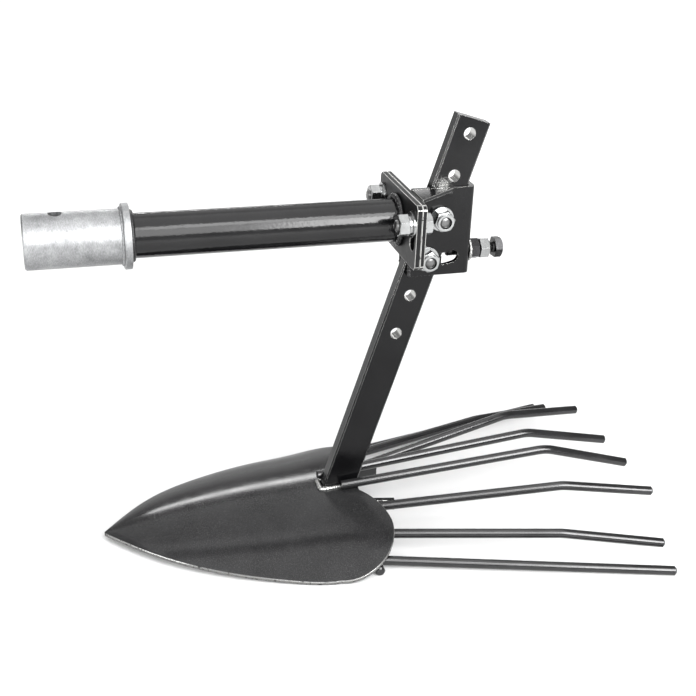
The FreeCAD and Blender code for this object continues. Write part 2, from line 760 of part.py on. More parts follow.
left_first, left_second = lobe(-1)
right_first, right_second = lobe(1)
trim = [
    Part.LineSegment(Vector(start, widest, 0), Vector(start, beyond, 0)),
    Part.LineSegment(Vector(start, beyond, 0), Vector(rear_limit, beyond, 0)),
    Part.LineSegment(Vector(rear_limit, beyond, 0), Vector(rear_limit, -beyond, 0)),
    Part.LineSegment(Vector(rear_limit, -beyond, 0), Vector(start, -beyond, 0)),
    Part.LineSegment(Vector(start, -beyond, 0), Vector(start, -widest, 0)),
    left_first,
    left_second,
    Part.LineSegment(Vector(notch_x, -notch_half, 0), Vector(notch_x, notch_half, 0)),
    right_second,
    right_first,
]
for item in trim:
    lobes.addGeometry(item, False)
cut_through(share, "lobes", lobes)

slot_place = Placement(Vector(), Rotation(Vector(0, 1, 0), lean_to_floor))
shank_slot = sketch_on(share, "shank_slot_sketch", "XY_Plane", slot_place)
polygon(
    shank_slot,
    [
        ("0 - shank_width / 2 - share_slot_gap", "0 - shank_thickness / 2 - share_slot_gap"),
        ("shank_width", "0 - shank_thickness / 2 - share_slot_gap"),
        ("shank_width", "shank_thickness / 2 + share_slot_gap"),
        ("0 - shank_width / 2 - share_slot_gap", "shank_thickness / 2 + share_slot_gap"),
    ],
)
cut_through(share, "shank_slot", shank_slot)
# The lowest point of the rim is set down on the floor
doc.recompute()
share_lift = Vector(0, 0, -min(point.z for point in share.Shape.tessellate(0.1)[0]))
keep(share, "share", ground_frame.multiply(Placement(share_lift, Rotation())))


def share_levels(x, y):
    """Underside and top of the share at a plan position, above the floor."""
    base = ground_frame.Base
    line = Part.makeLine(base + Vector(x, y, -50), base + Vector(x, y, 100))
    cut = share.Shape.common(line)
    if not cut.Edges:
        return None
    return cut.BoundBox.ZMin - base.z, cut.BoundBox.ZMax - base.z


def seat_on_share(x, y, side, radius):
    """The axis point of a rod lying under (side 0) or on (side 1) the share's rear edge."""
    while share_levels(x, y) is None or share_levels(x, y + 2) is None or share_levels(x, y - 2) is None:
        x -= 1
    slope = (share_levels(x, y + 2)[side] - share_levels(x, y - 2)[side]) / 4
    offset = radius * math.sqrt(1 + slope * slope) + size["tine_seat_gap"]
    return Vector(x, y, share_levels(x, y)[side] + (2 * side - 1) * offset)


# Tie bar under the lobes
tie_bar_half = size["share_half_e"] - size["tie_bar_inset"]
bar_body = body_named("tie_bar")
bar_sketch = sketch_on(
    bar_body,
    "tie_bar_section",
    "XZ_Plane",
    Placement(Vector(0, 0, -tie_bar_half), Rotation()),
)
circle(bar_sketch, "tie_bar_station", "tie_bar_diameter / 2", "tie_bar_diameter / 2")
bar_rod = pad(bar_body, "tie_bar_rod", bar_sketch, "2 * ( share_half_e - tie_bar_inset )")
bar_ends = edges_where(bar_rod, lambda edge: abs(abs(edge.CenterOfMass.y) - tie_bar_half) < 0.01)
dress(bar_body, "Chamfer", "tie_bar_ends", bar_rod, bar_ends, "tie_bar_chamfer")
keep(bar_body, "tie_bar", ground_frame)


# Tines: round rods drawn along +X from their root, bent once about their own Y axis
def tine(name, seat, plan_point, bend, end):
    """A rod seated on the share; under the share its root is hidden further forward."""
    seat_point = Vector(*plan_point[:2], 0)
    if seat == "bar":
        slant = math.atan2(abs(end[1] - plan_point[1]), end[0] - plan_point[0])
        bar_rear = size["tie_bar_station"] + size["tie_bar_diameter"] / 2
        root_x = bar_rear + size["tine_seat_gap"] + tine_radius * math.sin(slant)
        seat_point = Vector(root_x, *plan_point[1:])
    elif seat == "under":
        seat_point = seat_on_share(*plan_point, 0, tine_radius)
    else:
        seat_point = seat_on_share(*plan_point, 1, tine_radius)
    end_point = Vector(*end)
    target = Vector(*bend) if bend else end_point
    run = target - seat_point
    run.normalize()
    root = seat_point - run * size["tine_hidden_length"] if seat == "under" else seat_point
    body = body_named(name)
    profile = sketch_on(body, name + "_section", "YZ_Plane")
    circle(profile, "0", "0", "tine_diameter / 2")
    first = (target - root).Length
    if bend is None:
        rod = body.newObject("PartDesign::Pad", name + "_rod")
        rod.Profile = profile
        rod.Length = first
        across = Vector(0, 1, 0)
        rest = 0.0
        fall = 0.0
    else:
        second = end_point - target
        rest = second.Length
        second.normalize()
        fall = math.acos(run.dot(second))
        across = run.cross(second)
        across.normalize()
        tangent = size["tine_bend_radius"] * math.tan(fall / 2)
        path = sketch_on(body, name + "_path", "XZ_Plane")
        knee = Vector(first, 0, 0)
        down = Vector(math.cos(fall), -math.sin(fall), 0)
        arc_start = Vector(first - tangent, 0, 0)
        arc_end = knee + down * tangent
        arc_middle_out = Vector(first - tangent, -size["tine_bend_radius"], 0) + Vector(
            math.sin(fall / 2), math.cos(fall / 2), 0
        ) * size["tine_bend_radius"]
        path.addGeometry(Part.LineSegment(Vector(), arc_start), False)
        path.addGeometry(Part.Arc(arc_start, arc_middle_out, arc_end), False)
        path.addGeometry(Part.LineSegment(arc_end, knee + down * rest), False)
        rod = body.newObject("PartDesign::AdditivePipe", name + "_rod")
        rod.Profile = profile
        rod.Spine = (path, ["Edge1", "Edge2", "Edge3"])
    doc.recompute()
    tip_x = first + rest * math.cos(fall)
    tip_z = -rest * math.sin(fall)

    def at_tip(edge):
        return (edge.CenterOfMass - Vector(tip_x, 0, tip_z)).Length < 0.5

    dress(body, "Chamfer", name + "_tip", rod, edges_where(rod, at_tip), "tine_chamfer")
    upward = run.cross(across)
    if bend is None:
        upward = Vector(0, 0, 1) - run * run.z
        upward.normalize()
        across = upward.cross(run)
    turned = FreeCAD.Matrix(
        run.x, across.x, upward.x, 0,
        run.y, across.y, upward.y, 0,
        run.z, across.z, upward.z, 0,
        0, 0, 0, 1,
    )
    keep(body, name, ground_frame.multiply(Placement(root, Placement(turned).Rotation)))
    return seat_point, run


seats = {}
for row in TINES:
    seats[row[0]] = tine(*row)

# Root stays: short flat bars beside the third tines, under the share
for word, inward in (("left", 1), ("right", -1)):
    seat_point, run = seats[f"tine_{word}_third"]
    heading = math.degrees(math.atan2(run.y, run.x))
    aside = tine_radius + size["tine_seat_gap"] + size["stay_width"] / 2
    middle = seat_point + Vector(-run.y, run.x, 0) * inward * aside
    middle = middle - run * 12
    level = seat_on_share(middle.x, middle.y, 0, size["stay_width"] / 4).z
    stay = doc.addObject("Part::Box", f"root_stay_{word}")
    stay.setExpression("Length", cells("stay_length"))
    stay.setExpression("Width", cells("stay_width"))
    stay.setExpression("Height", cells("stay_height"))
    start_point = Vector(
        size["stay_overhang"] + 12 - size["stay_length"], -size["stay_width"] / 2, -size["stay_height"]
    )
    turn = Rotation(Vector(0, 0, 1), heading)
    middle.z = level
    keep(
        stay,
        f"root_stay_{word}",
        ground_frame.multiply(Placement(middle + turn.multVec(start_point), turn)),
    )

doc.recompute()
faults = [item.Name for item in doc.Objects if "Invalid" in item.State or "Error" in item.State]
if faults:
    raise RuntimeError("failed features: " + ", ".join(faults))
for part in parts:
    if part.Shape.isNull() or not part.Shape.isValid() or not part.Shape.Solids:
        raise RuntimeError("bad shape: " + part.Label)
for part in parts:
    part.Shape.exportStep(f"parts/{part.Label}.step")
steel = sum(part.Shape.Volume for part in parts)
print(f"{len(parts)} parts, steel {steel * 7.85e-6:.2f} kg, floor at z {floor_point.z:.2f} mm")
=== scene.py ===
# %% [markdown]
# # Potato plough, dressed for its photograph
# A potato plough hangs behind a two-wheeled tractor. It has a zinc coated coupling, a round
# drawbar, two flange plates, a bent bracket, a flat shank, a domed share and eight tines. The
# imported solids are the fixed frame. This script gives every piece its finish, rounds its edges,
# swaps in a smoother share and threaded bolts, lays the weld beads and sets up a plain studio.
#
# Blender's own lengths are metres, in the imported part's frame: +X to the rear, +Y to the plough's
# right, +Z up. Sizes of pieces are written in millimetres and multiplied by MM.

import json
import math

import bmesh
import bpy
import numpy as np
from mathutils import Euler, Matrix, Vector
from mathutils.geometry import delaunay_2d_cdt


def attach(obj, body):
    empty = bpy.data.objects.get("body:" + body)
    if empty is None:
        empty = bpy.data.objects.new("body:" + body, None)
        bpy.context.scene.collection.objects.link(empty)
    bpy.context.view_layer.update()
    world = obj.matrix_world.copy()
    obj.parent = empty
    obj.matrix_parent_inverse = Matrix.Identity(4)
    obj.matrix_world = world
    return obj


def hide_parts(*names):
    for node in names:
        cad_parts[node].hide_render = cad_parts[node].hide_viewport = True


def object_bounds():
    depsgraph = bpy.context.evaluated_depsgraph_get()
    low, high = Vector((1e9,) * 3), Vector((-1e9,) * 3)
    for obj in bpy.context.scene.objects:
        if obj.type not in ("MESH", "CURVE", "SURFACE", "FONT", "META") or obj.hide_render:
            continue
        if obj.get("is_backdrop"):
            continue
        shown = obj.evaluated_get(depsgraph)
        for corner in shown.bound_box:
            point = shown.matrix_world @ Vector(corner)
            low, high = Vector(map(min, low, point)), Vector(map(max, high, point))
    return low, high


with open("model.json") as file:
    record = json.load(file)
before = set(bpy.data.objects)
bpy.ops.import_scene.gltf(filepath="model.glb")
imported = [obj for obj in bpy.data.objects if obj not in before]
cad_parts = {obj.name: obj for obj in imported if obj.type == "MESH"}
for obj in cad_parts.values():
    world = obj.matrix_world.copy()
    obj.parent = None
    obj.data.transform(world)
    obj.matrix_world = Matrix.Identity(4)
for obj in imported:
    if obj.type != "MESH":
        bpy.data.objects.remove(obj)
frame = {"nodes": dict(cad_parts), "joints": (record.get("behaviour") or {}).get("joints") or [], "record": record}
bounds_at_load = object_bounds()
scene = bpy.context.scene
nodes = frame["nodes"]
MM = 0.001
print(len(nodes), "nodes; box", [round(c, 3) for corner in bounds_at_load for c in corner])

# %% [markdown]
# ## Where things are
# The drawbar rises a little to the rear, and the shank leans back from it. Places could be typed
# in one by one, but they would all go wrong with the first change of a size. So the two
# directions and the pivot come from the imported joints, and every piece below is placed along the
# real part's own axes.

# %% Directions and places
joints = {joint["name"]: joint for joint in frame["joints"]}
drawbar_axis = Vector(joints["flange_roll"]["axis"]).normalized()
drawbar_up = Vector((-drawbar_axis.z, 0, drawbar_axis.x))
sideways = Vector((0, 1, 0))
pivot = Vector(joints["shank_tilt"]["pos_m"])
shank_lean = math.radians(17.17)  # measured from a right angle to the drawbar
shank_up = drawbar_up * math.cos(shank_lean) + drawbar_axis * math.sin(shank_lean)
shank_across = drawbar_axis * math.cos(shank_lean) - drawbar_up * math.sin(shank_lean)
floor_level = min(corner.co.z for thing in nodes.values() for corner in thing.data.vertices)
foot = pivot + shank_up * ((floor_level - pivot.z) / shank_up.z)


def on_drawbar(along, side, above):
    """A point given in millimetres along, beside and above the drawbar's axis."""
    return (drawbar_axis * along + sideways * side + drawbar_up * above) * MM


def on_shank(across, side, above):
    """A point given in millimetres from the shank's pivot hole."""
    return pivot + (shank_across * across + sideways * side + shank_up * above) * MM


print("pivot", tuple(round(c, 4) for c in pivot), "foot", tuple(round(c, 4) for c in foot))

# %% [markdown]
# ## Finishes
# Each finish is a small tree of nodes. Such a tree can be clicked together by hand, but in a
# script one function that adds a node with its settings and links keeps every line readable.
# Colours are written as plain screen colours, and one function turns them linear, which is what
# the shader works in. Patterns read Object coordinates, so they stay on the steel in every pose.
#
# Some sockets share a name, so they are given by number. In Map Range 1 and 2 are the range that
# comes in, and 3 and 4 the one that goes out. In Mix 0 is the factor, and 6 and 7 are the colours.

# %% Colour and node helpers
def linear(hex_colour):
    """A screen colour such as 8a8a88 as linear red, green, blue and alpha."""
    channels = [int(hex_colour[i : i + 2], 16) / 255 for i in (0, 2, 4)]
    curved = [c / 12.92 if c <= 0.04045 else ((c + 0.055) / 1.055) ** 2.4 for c in channels]
    return (*curved, 1.0)


def add(tree, kind, inputs=None, **settings):
    """Add one node; its inputs are constants, or the sockets to link from."""
    made = tree.nodes.new(kind)
    for name, value in settings.items():
        setattr(made, name, value)
    for key, value in (inputs or {}).items():
        if isinstance(value, bpy.types.NodeSocket):
            tree.links.new(value, made.inputs[key])
        else:
            made.inputs[key].default_value = value
    return made.outputs


def empty_material(name):
    """A new material with nothing in its tree yet."""
    material = bpy.data.materials.new(name)
    material.use_nodes = True
    material.node_tree.nodes.clear()
    return material, material.node_tree


print("mid grey 808080 is", round(linear("808080")[0], 3), "in linear light")

# %% [markdown]
# ### How large the patterns are
# A noise texture has no size of its own: its Scale is how often it repeats in a metre. Each one
# here is worked out from the size of the real pattern, in millimetres from one patch to the next.

# %% Pattern sizes
haze_size = 41.667  # cloudy shades of a coat sprayed in passes about 40 mm wide
rub_size = 14.286  # places polished by hands and packing
# The same flecks break up the bare edges, which are partly a painted highlight
chip_and_highlight_size = 2.6316  # paint chips along a sheared or sawn edge
peel_size = 2.0833  # orange peel, the waves that a sprayed coat dries with
scratch_size = 0.90909  # real scratches are about 0.1 mm wide, and drawn coarser so that they show
dust_size = 0.66667  # real dust is finer than 0.1 mm, and drawn coarser so that it shows
cloud_size = 18.182  # clouds of brighter and duller zinc


def every(millimetres):
    """The Scale of a noise texture whose patches are this far apart."""
    return 1000.0 / millimetres


print("orange peel: Scale", round(every(peel_size)), "; dust: Scale", round(every(dust_size)))

# %% [markdown]
# ### Black enamel and dark lacquer
# The drawbar, plates, bracket and shank are mild steel sprayed with black enamel, and the share
# and tines have a thin dark lacquer. Such a coat is a dielectric film, not a metal, so it is a
# Principled shader with a nearly black colour, low roughness and a weak mirror. One dark colour
# would look like plastic. The eye expects cloudy shades, orange peel, a little dust, and steel
# showing where edges are scuffed through. A face attribute says where that may be: it is 1 on the
# rounded edges, and noise breaks it into chips. This bare steel is partly scuffs and partly a painted highlight.

# %% A scratched patch that also paints a reflection
def scratches_and_painted_reflection(tree, place, middle):
    """Where bare scratches lie round a point: dense within 4 mm, and thin from 17 mm on; partly rubbing, partly a
    painted reflection of the bracket.
    """
    apart = add(tree, "ShaderNodeVectorMath", {0: place, 1: middle}, operation="DISTANCE")["Value"]
    near = add(tree, "ShaderNodeMapRange", {0: apart, 1: 4 * MM, 2: 17 * MM, 3: 0.57, 4: 0.15})[0]
    marks = {"Vector": place, "Scale": every(scratch_size), "Detail": 2.0, "Distortion": 1.5}
    marks = add(tree, "ShaderNodeTexNoise", marks)[0]
    marks = add(tree, "ShaderNodeMath", {0: near, 1: marks}, operation="ADD")[0]
    return add(tree, "ShaderNodeMapRange", {0: marks, 1: 1.05, 2: 1.15})[0]


# Bare steel is the colour of scuffed edges, and also a painted highlight along them and a painted reflection on
# the shank
dust_colour, bare_steel_and_highlight_colour = "5c5c5a", "b6b6b4"
print("dust", dust_colour, "and bare steel", bare_steel_and_highlight_colour)


# %% Enamel on steel
def enamel(
    name,
    deep,
    hazy,
    rough,
    peel,
    level,
    chips_and_highlight=0.46,
    streak=(1.0, 1.0, 1.0),
    dusty=(0.66, 0.3),
    low_level=None,
    scratch_and_reflection_middle=None,
):
    """Sprayed enamel or lacquer on steel.

    deep and hazy are its two shades, rough its lowest and highest roughness, and peel the depth
    of its orange peel in millimetres. level is how strongly it mirrors, and low_level the same
    at a low angle, where a finely grained lacquer scatters the light. The lower chips is, the
    more of a rounded edge is bare steel, partly scuffs and partly a painted highlight. streak under 1
    draws the haze out along an axis. dusty is the noise level at which dust begins, and how much of it
    lies there. rubbed is the middle of a scratched patch, which also paints a reflection.
    """
    material, tree = empty_material(name)
    place = add(tree, "ShaderNodeTexCoord")["Object"]
    along = add(tree, "ShaderNodeMapping", {"Vector": place, "Scale": streak})[0]

    # Colour: two shades in clouds, with dust on top
    haze = {"Vector": along, "Scale": every(haze_size), "Detail": 5.0}
    haze = add(tree, "ShaderNodeTexNoise", haze)[0]
    haze = add(tree, "ShaderNodeMapRange", {0: haze, 1: 0.35, 2: 0.7})[0]
    dust = {"Vector": place, "Scale": every(dust_size), "Detail": 2.0}
    dust = add(tree, "ShaderNodeTexNoise", dust)[0]
    dust = add(tree, "ShaderNodeMapRange", {0: dust, 1: dusty[0], 2: 0.8, 4: dusty[1]})[0]
    paint = {0: haze, 6: linear(deep), 7: linear(hazy)}
    paint = add(tree, "ShaderNodeMix", paint, data_type="RGBA")[2]
    paint = {0: dust, 6: paint, 7: linear(dust_colour)}
    paint = add(tree, "ShaderNodeMix", paint, data_type="RGBA")[2]

    # Bare steel: chips along the rounded edges and the scratched patch, partly painted highlight and reflection
    wear_and_highlight = add(tree, "ShaderNodeAttribute", attribute_name="wear_and_highlight")["Fac"]
    flecks = {"Vector": place, "Scale": every(chip_and_highlight_size), "Detail": 3.0}
    flecks = add(tree, "ShaderNodeTexNoise", flecks)[0]
    flecks = add(tree, "ShaderNodeMapRange", {0: flecks, 1: chips_and_highlight, 2: chips_and_highlight + 0.1})[0]
    bare = add(tree, "ShaderNodeMath", {0: wear_and_highlight, 1: flecks}, operation="MULTIPLY")[0]
    # The scratched patch is partly rubbing and partly a painted reflection of the bracket in the gloss
    if scratch_and_reflection_middle is not None:
        patch = scratches_and_painted_reflection(tree, place, scratch_and_reflection_middle)
        bare = add(tree, "ShaderNodeMath", {0: bare, 1: patch}, operation="MAXIMUM")[0]
    colour = {0: bare, 6: paint, 7: linear(bare_steel_and_highlight_colour)}
    colour = add(tree, "ShaderNodeMix", colour, data_type="RGBA")[2]

    # Gloss: polished and dull places, and the waves of the orange peel
    rubs = {"Vector": along, "Scale": every(rub_size), "Detail": 6.0}
    rubs = add(tree, "ShaderNodeTexNoise", rubs)[0]
    gloss = {0: rubs, 1: 0.35, 2: 0.75, 3: rough[0], 4: rough[1]}
    gloss = add(tree, "ShaderNodeMapRange", gloss)[0]
    skin = {"Vector": place, "Scale": every(peel_size), "Detail": 1.0}
    skin = add(tree, "ShaderNodeTexNoise", skin)[0]
    skin = {"Height": skin, "Strength": 0.5, "Distance": peel * MM}
    skin = add(tree, "ShaderNodeBump", skin)[0]

    shader = {"Base Color": colour, "Metallic": bare, "Roughness": gloss, "Normal": skin}
    shader["Specular IOR Level"] = level
    coat = add(tree, "ShaderNodeBsdfPrincipled", shader)[0]
    if low_level is not None:
        # Two coats with plain levels, mixed by angle, because the export drops a linked level
        facing = add(tree, "ShaderNodeLayerWeight", {"Blend": 0.5})["Facing"]
        facing = add(tree, "ShaderNodeMapRange", {0: facing, 1: 0.55, 2: 0.85})[0]
        shader["Specular IOR Level"] = low_level
        dull_coat = add(tree, "ShaderNodeBsdfPrincipled", shader)[0]
        coat = add(tree, "ShaderNodeMixShader", {0: facing, 1: coat, 2: dull_coat})[0]
    add(tree, "ShaderNodeOutputMaterial", {"Surface": coat})
    return material


# Gloss enamel on flat plate: deep black faces that catch a lamp only at the right angle
black_enamel = enamel(
    "black_gloss_enamel", "070708", "0e0e0f", (0.1, 0.18), 0.05, level=0.19, chips_and_highlight=0.24
)
print("the black enamel is a tree of", len(black_enamel.node_tree.nodes), "nodes")

# %% The other enamels, and the lacquers
# Gloss enamel on drawn tube: long sharp bands of light, slightly wavy from the orange peel
tube_enamel = enamel(
    "black_gloss_enamel_on_tube", "070708", "0e0e0f", (0.1, 0.18), 0.2, level=0.37, chips_and_highlight=0.31
)
# The flange plates' coat has dried satin: their faces stay evenly dark grey
plate_enamel = enamel(
    "black_satin_enamel_on_plate", "070708", "0c0c0d", (0.36, 0.46), 0.05, level=0.2, chips_and_highlight=0.31
)
# The shank slides in the bracket: silvery scratches just above the pivot, which also paint the bracket's
# reflection there, and bright edges that are partly a painted highlight
shank_enamel = enamel(
    "black_gloss_enamel_scratched_with_painted_reflection",
    "070708",
    "0e0e0f",
    (0.1, 0.18),
    0.05,
    level=0.19,
    chips_and_highlight=0.2,
    scratch_and_reflection_middle=on_shank(-8, -7, 32),
)
# Enamel over a weld: a little lighter and rougher, because it runs off the ripples
weld_enamel = enamel("black_enamel_over_weld", "0a0a0b", "161617", (0.14, 0.24), 0.12, level=0.4)
# Lacquer on pressed steel: charcoal with a fine grain, a bright crown and a calm near flank
share_lacquer = enamel(
    "dark_lacquered_share_steel",
    "181819",
    "222223",
    (0.13, 0.19),
    0.01,
    level=0.25,
    chips_and_highlight=0.34,
    dusty=(0.52, 0.45),
    low_level=0.015,
)
# Lacquer on round rod: one thin bright line along each rod, with haze drawn out along it
tine_lacquer = enamel(
    "dark_lacquered_tine_rod",
    "0e0e0f",
    "1c1c1d",
    (0.13, 0.26),
    0.12,
    level=0.6,
    chips_and_highlight=0.42,
    streak=(0.4, 4, 4),
)
print("enamels:", [coat.name for coat in (tube_enamel, plate_enamel, shank_enamel, weld_enamel)])
print("lacquers:", [coat.name for coat in (share_lacquer, tine_lacquer)])

# %% [markdown]
# ### Zinc, black oxide and bare steel
# The coupling sleeve is turned tube with a matt, cloudy zinc coat, and its turning marks run
# round it. Nuts, bolts and washers have bright zinc, the stop screw is blackened, and a few welds
# are bare. All of these are metals, so Metallic is 1 and the index of refraction stays as it is.
# They differ in colour, roughness and grain alone, and one function makes them all. Turning marks
# lie about 0.3 mm apart, and the grain of plating is finer still. Here they are drawn about 1 mm
# apart, because anything finer would not show.

# %% Metal coats
def metal_coat(name, dull, fair, rough, grain_size, depth, streak=(1.0, 1.0, 1.0), speckle=0.0):
    """A bare or coated metal; grain_size and depth are in millimetres.

    dull and fair are its two shades, and rough its lowest and highest roughness. streak under 1
    draws the grain out along an axis, and speckle is how far the grain shows as colour, up to 1.
    """
    material, tree = empty_material(name)
    place = add(tree, "ShaderNodeTexCoord")["Object"]
    cloud = {"Vector": place, "Scale": every(cloud_size), "Detail": 8.0, "Roughness": 0.7}
    cloud = add(tree, "ShaderNodeTexNoise", cloud)[0]
    cloud = add(tree, "ShaderNodeMapRange", {0: cloud, 1: 0.25, 2: 0.75})[0]
    along = add(tree, "ShaderNodeMapping", {"Vector": place, "Scale": streak})[0]
    grain = {"Vector": along, "Scale": every(grain_size), "Detail": 3.0, "Roughness": 0.6}
    grain = add(tree, "ShaderNodeTexNoise", grain)[0]
    spots = {0: grain, 1: 0.35, 2: 0.65, 3: -speckle, 4: speckle}
    spots = add(tree, "ShaderNodeMapRange", spots)[0]
    spots = add(tree, "ShaderNodeMath", {0: cloud, 1: spots}, operation="ADD")[0]
    colour = {0: spots, 6: linear(dull), 7: linear(fair)}
    colour = add(tree, "ShaderNodeMix", colour, data_type="RGBA")[2]
    gloss = {0: grain, 1: 0.3, 2: 0.7, 3: rough[0], 4: rough[1]}
    gloss = add(tree, "ShaderNodeMapRange", gloss)[0]
    skin = {"Height": grain, "Strength": 0.6, "Distance": depth * MM}
    skin = add(tree, "ShaderNodeBump", skin)[0]
    shader = {"Base Color": colour, "Metallic": 1.0, "Roughness": gloss, "Normal": skin}
    shader = add(tree, "ShaderNodeBsdfPrincipled", shader)[0]
    add(tree, "ShaderNodeOutputMaterial", {"Surface": shader})
    return material


# Plated hardware: small, crisp reflections on every flat of a nut
bright_zinc = metal_coat("bright_zinc_plating", "7e7f7f", "a2a3a3", (0.14, 0.26), 1.2, 0.01)
print("the bright zinc is a tree of", len(bright_zinc.node_tree.nodes), "nodes")

# %% The other metals
# Zinc on turned tube: pale, cloudy and speckled, with a broad soft shine and marks round it
matt_zinc = metal_coat(
    "matt_zinc_coated_tube",
    "7a7b7c",
    "acadae",
    (0.38, 0.5),
    1.2,
    0.07,
    streak=(2, 0.5, 0.5),
    speckle=0.28,
)
# Blackened steel: dark grey with a dull metallic shine
black_oxide = metal_coat("black_oxide_on_steel", "2c2c2d", "464647", (0.2, 0.34), 1.0, 0.03)
# Bare weld metal: bright, with dark slag between the ripples
bare_weld = metal_coat("bare_weld_metal", "6c6c6b", "cfcfcd", (0.2, 0.4), 1.2, 0.08)
# Zinc on a bolt's stem and thread: darker and duller than the head, a painted shade for the bolt ends deep in
# their nuts
thread_zinc_painted_shade = metal_coat("zinc_thread_with_painted_shade", "4e4e4e", "808080", (0.25, 0.4), 0.8, 0.01)
print("metals:", [coat.name for coat in (matt_zinc, black_oxide, bare_weld, thread_zinc_painted_shade)])

# %% [markdown]
# ### Which piece has which finish
# The record gives every node a material slot, and one finish goes with each slot. Four nodes have
# a coat of their own, because the same enamel looks different on tube, on plate and on the shank,
# whose scratched patch also paints a reflection. A imported node keeps its place and its mesh. Only its material
# is set.

# %% Finishes of the imported nodes
coat_of_slot = {
    "zinc_steel": matt_zinc,
    "black_paint": black_enamel,
    "bright_zinc": bright_zinc,
    "black_hardware": black_oxide,
    "share_steel": share_lacquer,
    "tine_steel": tine_lacquer,
}
coat_of_node = {
    "drawbar_tube": tube_enamel,
    "front_flange_plate": plate_enamel,
    "rear_flange_plate": plate_enamel,
    "shank": shank_enamel,
}
slot_of_node = {row["node"]: row["material_slot"] for row in frame["record"]["subparts"]}
body_of_node = {
    node: body for body, group in frame["record"]["behaviour"]["bodies"].items() for node in group
}


def coat_of(node):
    """The finish of a node: its own, or that of its slot."""
    return coat_of_node.get(node, coat_of_slot[slot_of_node[node]])


for name, thing in nodes.items():
    thing.data.materials.clear()
    thing.data.materials.append(coat_of(name))
print(len(nodes), "nodes in", len(set(slot_of_node.values())), "slots")

# %% [markdown]
# ## Rounded edges
# Sheared plate, sawn bar and turned hardware never have perfectly sharp edges. The thin bright
# line on each edge is what makes them look solid. A shader can fake such an edge, but only real
# geometry keeps it in the mesh itself. The imported meshes are left alone: a copy is merged, its
# sharp edges get a small bevel, and the bevel's faces are marked for bare steel, which is partly
# scuffs and partly a painted highlight. Weighted normals then keep the large faces flat.

# %% A piece, and the merged copy of a node
def as_piece(name, mesh, body, slot, *materials):
    """A new object at the origin that rides on a body."""
    piece = bpy.data.objects.new(name, mesh)
    scene.collection.objects.link(piece)
    for material in materials:
        piece.data.materials.append(material)
    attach(piece, body)
    return piece


def merged(node):
    """The node's triangles merged into a closed mesh, flat faces joined."""
    shape = bmesh.new()
    shape.from_mesh(nodes[node].data)
    bmesh.ops.remove_doubles(shape, verts=shape.verts, dist=0.002 * MM)
    flat = math.radians(0.6)
    bmesh.ops.dissolve_limit(shape, angle_limit=flat, verts=shape.verts, edges=shape.edges)
    return shape


trial = merged("shank")
print("shank:", len(nodes["shank"].data.polygons), "triangles are", len(trial.faces), "faces")
trial.free()


# %% Bevel and smooth a shape
def evaluated(holder):
    """The plain mesh that an object's modifiers make; the object itself is removed."""
    seen = holder.evaluated_get(bpy.context.evaluated_depsgraph_get())
    result = bpy.data.meshes.new_from_object(seen)
    bpy.data.objects.remove(holder)
    return result


sharp_angle = math.radians(34)  # steeper than the facets of a round face


def rounded(shape, width):
    """Bevel the sharp edges, mark the new faces for bare steel, partly scuffs and partly a painted highlight, and
    smooth the shading.
    """
    worn_and_highlit = shape.faces.layers.float.get("wear_and_highlight") or shape.faces.layers.float.new("wear_and_highlight")
    sharp = [e for e in shape.edges if e.is_manifold and e.calc_face_angle() > sharp_angle]
    bevel = {"offset": width, "segments": 2, "profile": 0.5, "affect": "EDGES"}
    made = bmesh.ops.bevel(shape, geom=sharp, clamp_overlap=True, **bevel)
    for face in made["faces"]:
        face[worn_and_highlit] = 1.0
    for face in shape.faces:
        face.smooth = True
    mesh = bpy.data.meshes.new("rounded")
    shape.to_mesh(mesh)
    shape.free()
    holder = bpy.data.objects.new("holder", mesh)
    scene.collection.objects.link(holder)
    evened = holder.modifiers.new("even", "WEIGHTED_NORMAL")
    evened.mode = "FACE_AREA"
    evened.weight = 80
    return evaluated(holder)


print("edges that turn by more than", round(math.degrees(sharp_angle)), "degrees are rounded")

# %% Round the plates, the bar, the coupling and the hardware
edge_radius = {
    "front_flange_plate": 0.9,
    "rear_flange_plate": 0.9,
    "shank_bracket": 0.8,
    "bracket_gusset": 0.6,
    "shank": 1.3,
    "coupling_sleeve": 0.7,
    "coupling_collar": 0.5,
    "root_stay_left": 0.6,
    "root_stay_right": 0.6,
}
hardware_radius = 0.3
for name in nodes:
    if any(word in name for word in ("washer", "nut", "boss")):
        edge_radius[name] = hardware_radius
bore_facet_area = 100 * MM**2  # the bar's own sides are larger

for name, radius in edge_radius.items():
    shape = merged(name)
    if name == "shank":
        # The walls of its holes are marked bare like drilled steel, which also paints the light falling on them
        bored = shape.faces.layers.float.new("wear_and_highlight")
        for face in shape.faces:
            if abs(face.normal.y) < 0.2 and face.calc_area() < bore_facet_area:
                face[bored] = 1.0
    mesh = rounded(shape, radius * MM)
    body, slot = body_of_node[name], slot_of_node[name]
    piece = as_piece(f"rounded_{name}", mesh, body, slot, coat_of(name))
    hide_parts(name)
print(len(edge_radius), "pieces with rounded edges")

# %% [markdown]
# ## The share
# The real share is a plate of about 3.6 mm pressed into a dome, and its lacquer mirrors enough to
# show any facet. A subdivision surface would be smooth, but it would drift from the solid. So it
# is rebuilt from the same arched sections: a spline runs through the table, the plan outline is
# filled with a fine even net of triangles, each point is lifted onto the dome, and the rim is
# rounded and marked for bare steel, partly scuffs and partly a painted highlight.

# %% The dome's sections
# station, half width, lower rim height, rise of the crown, in millimetres from the shank's foot
sections = np.array(
    [
        (-239.6, 1.5, 6.4, 0.5),
        (-185.6, 55.5, 7.0, 11.9),
        (-125.6, 91.0, 4.0, 22.9),
        (-65.6, 113.5, 1.2, 30.7),
        (-15.6, 123.8, 0.6, 34.3),
        (23.4, 124.0, 7.0, 30.4),
        (80.0, 124.0, 14.0, 25.4),
    ]
)
share_gauge = 3.6


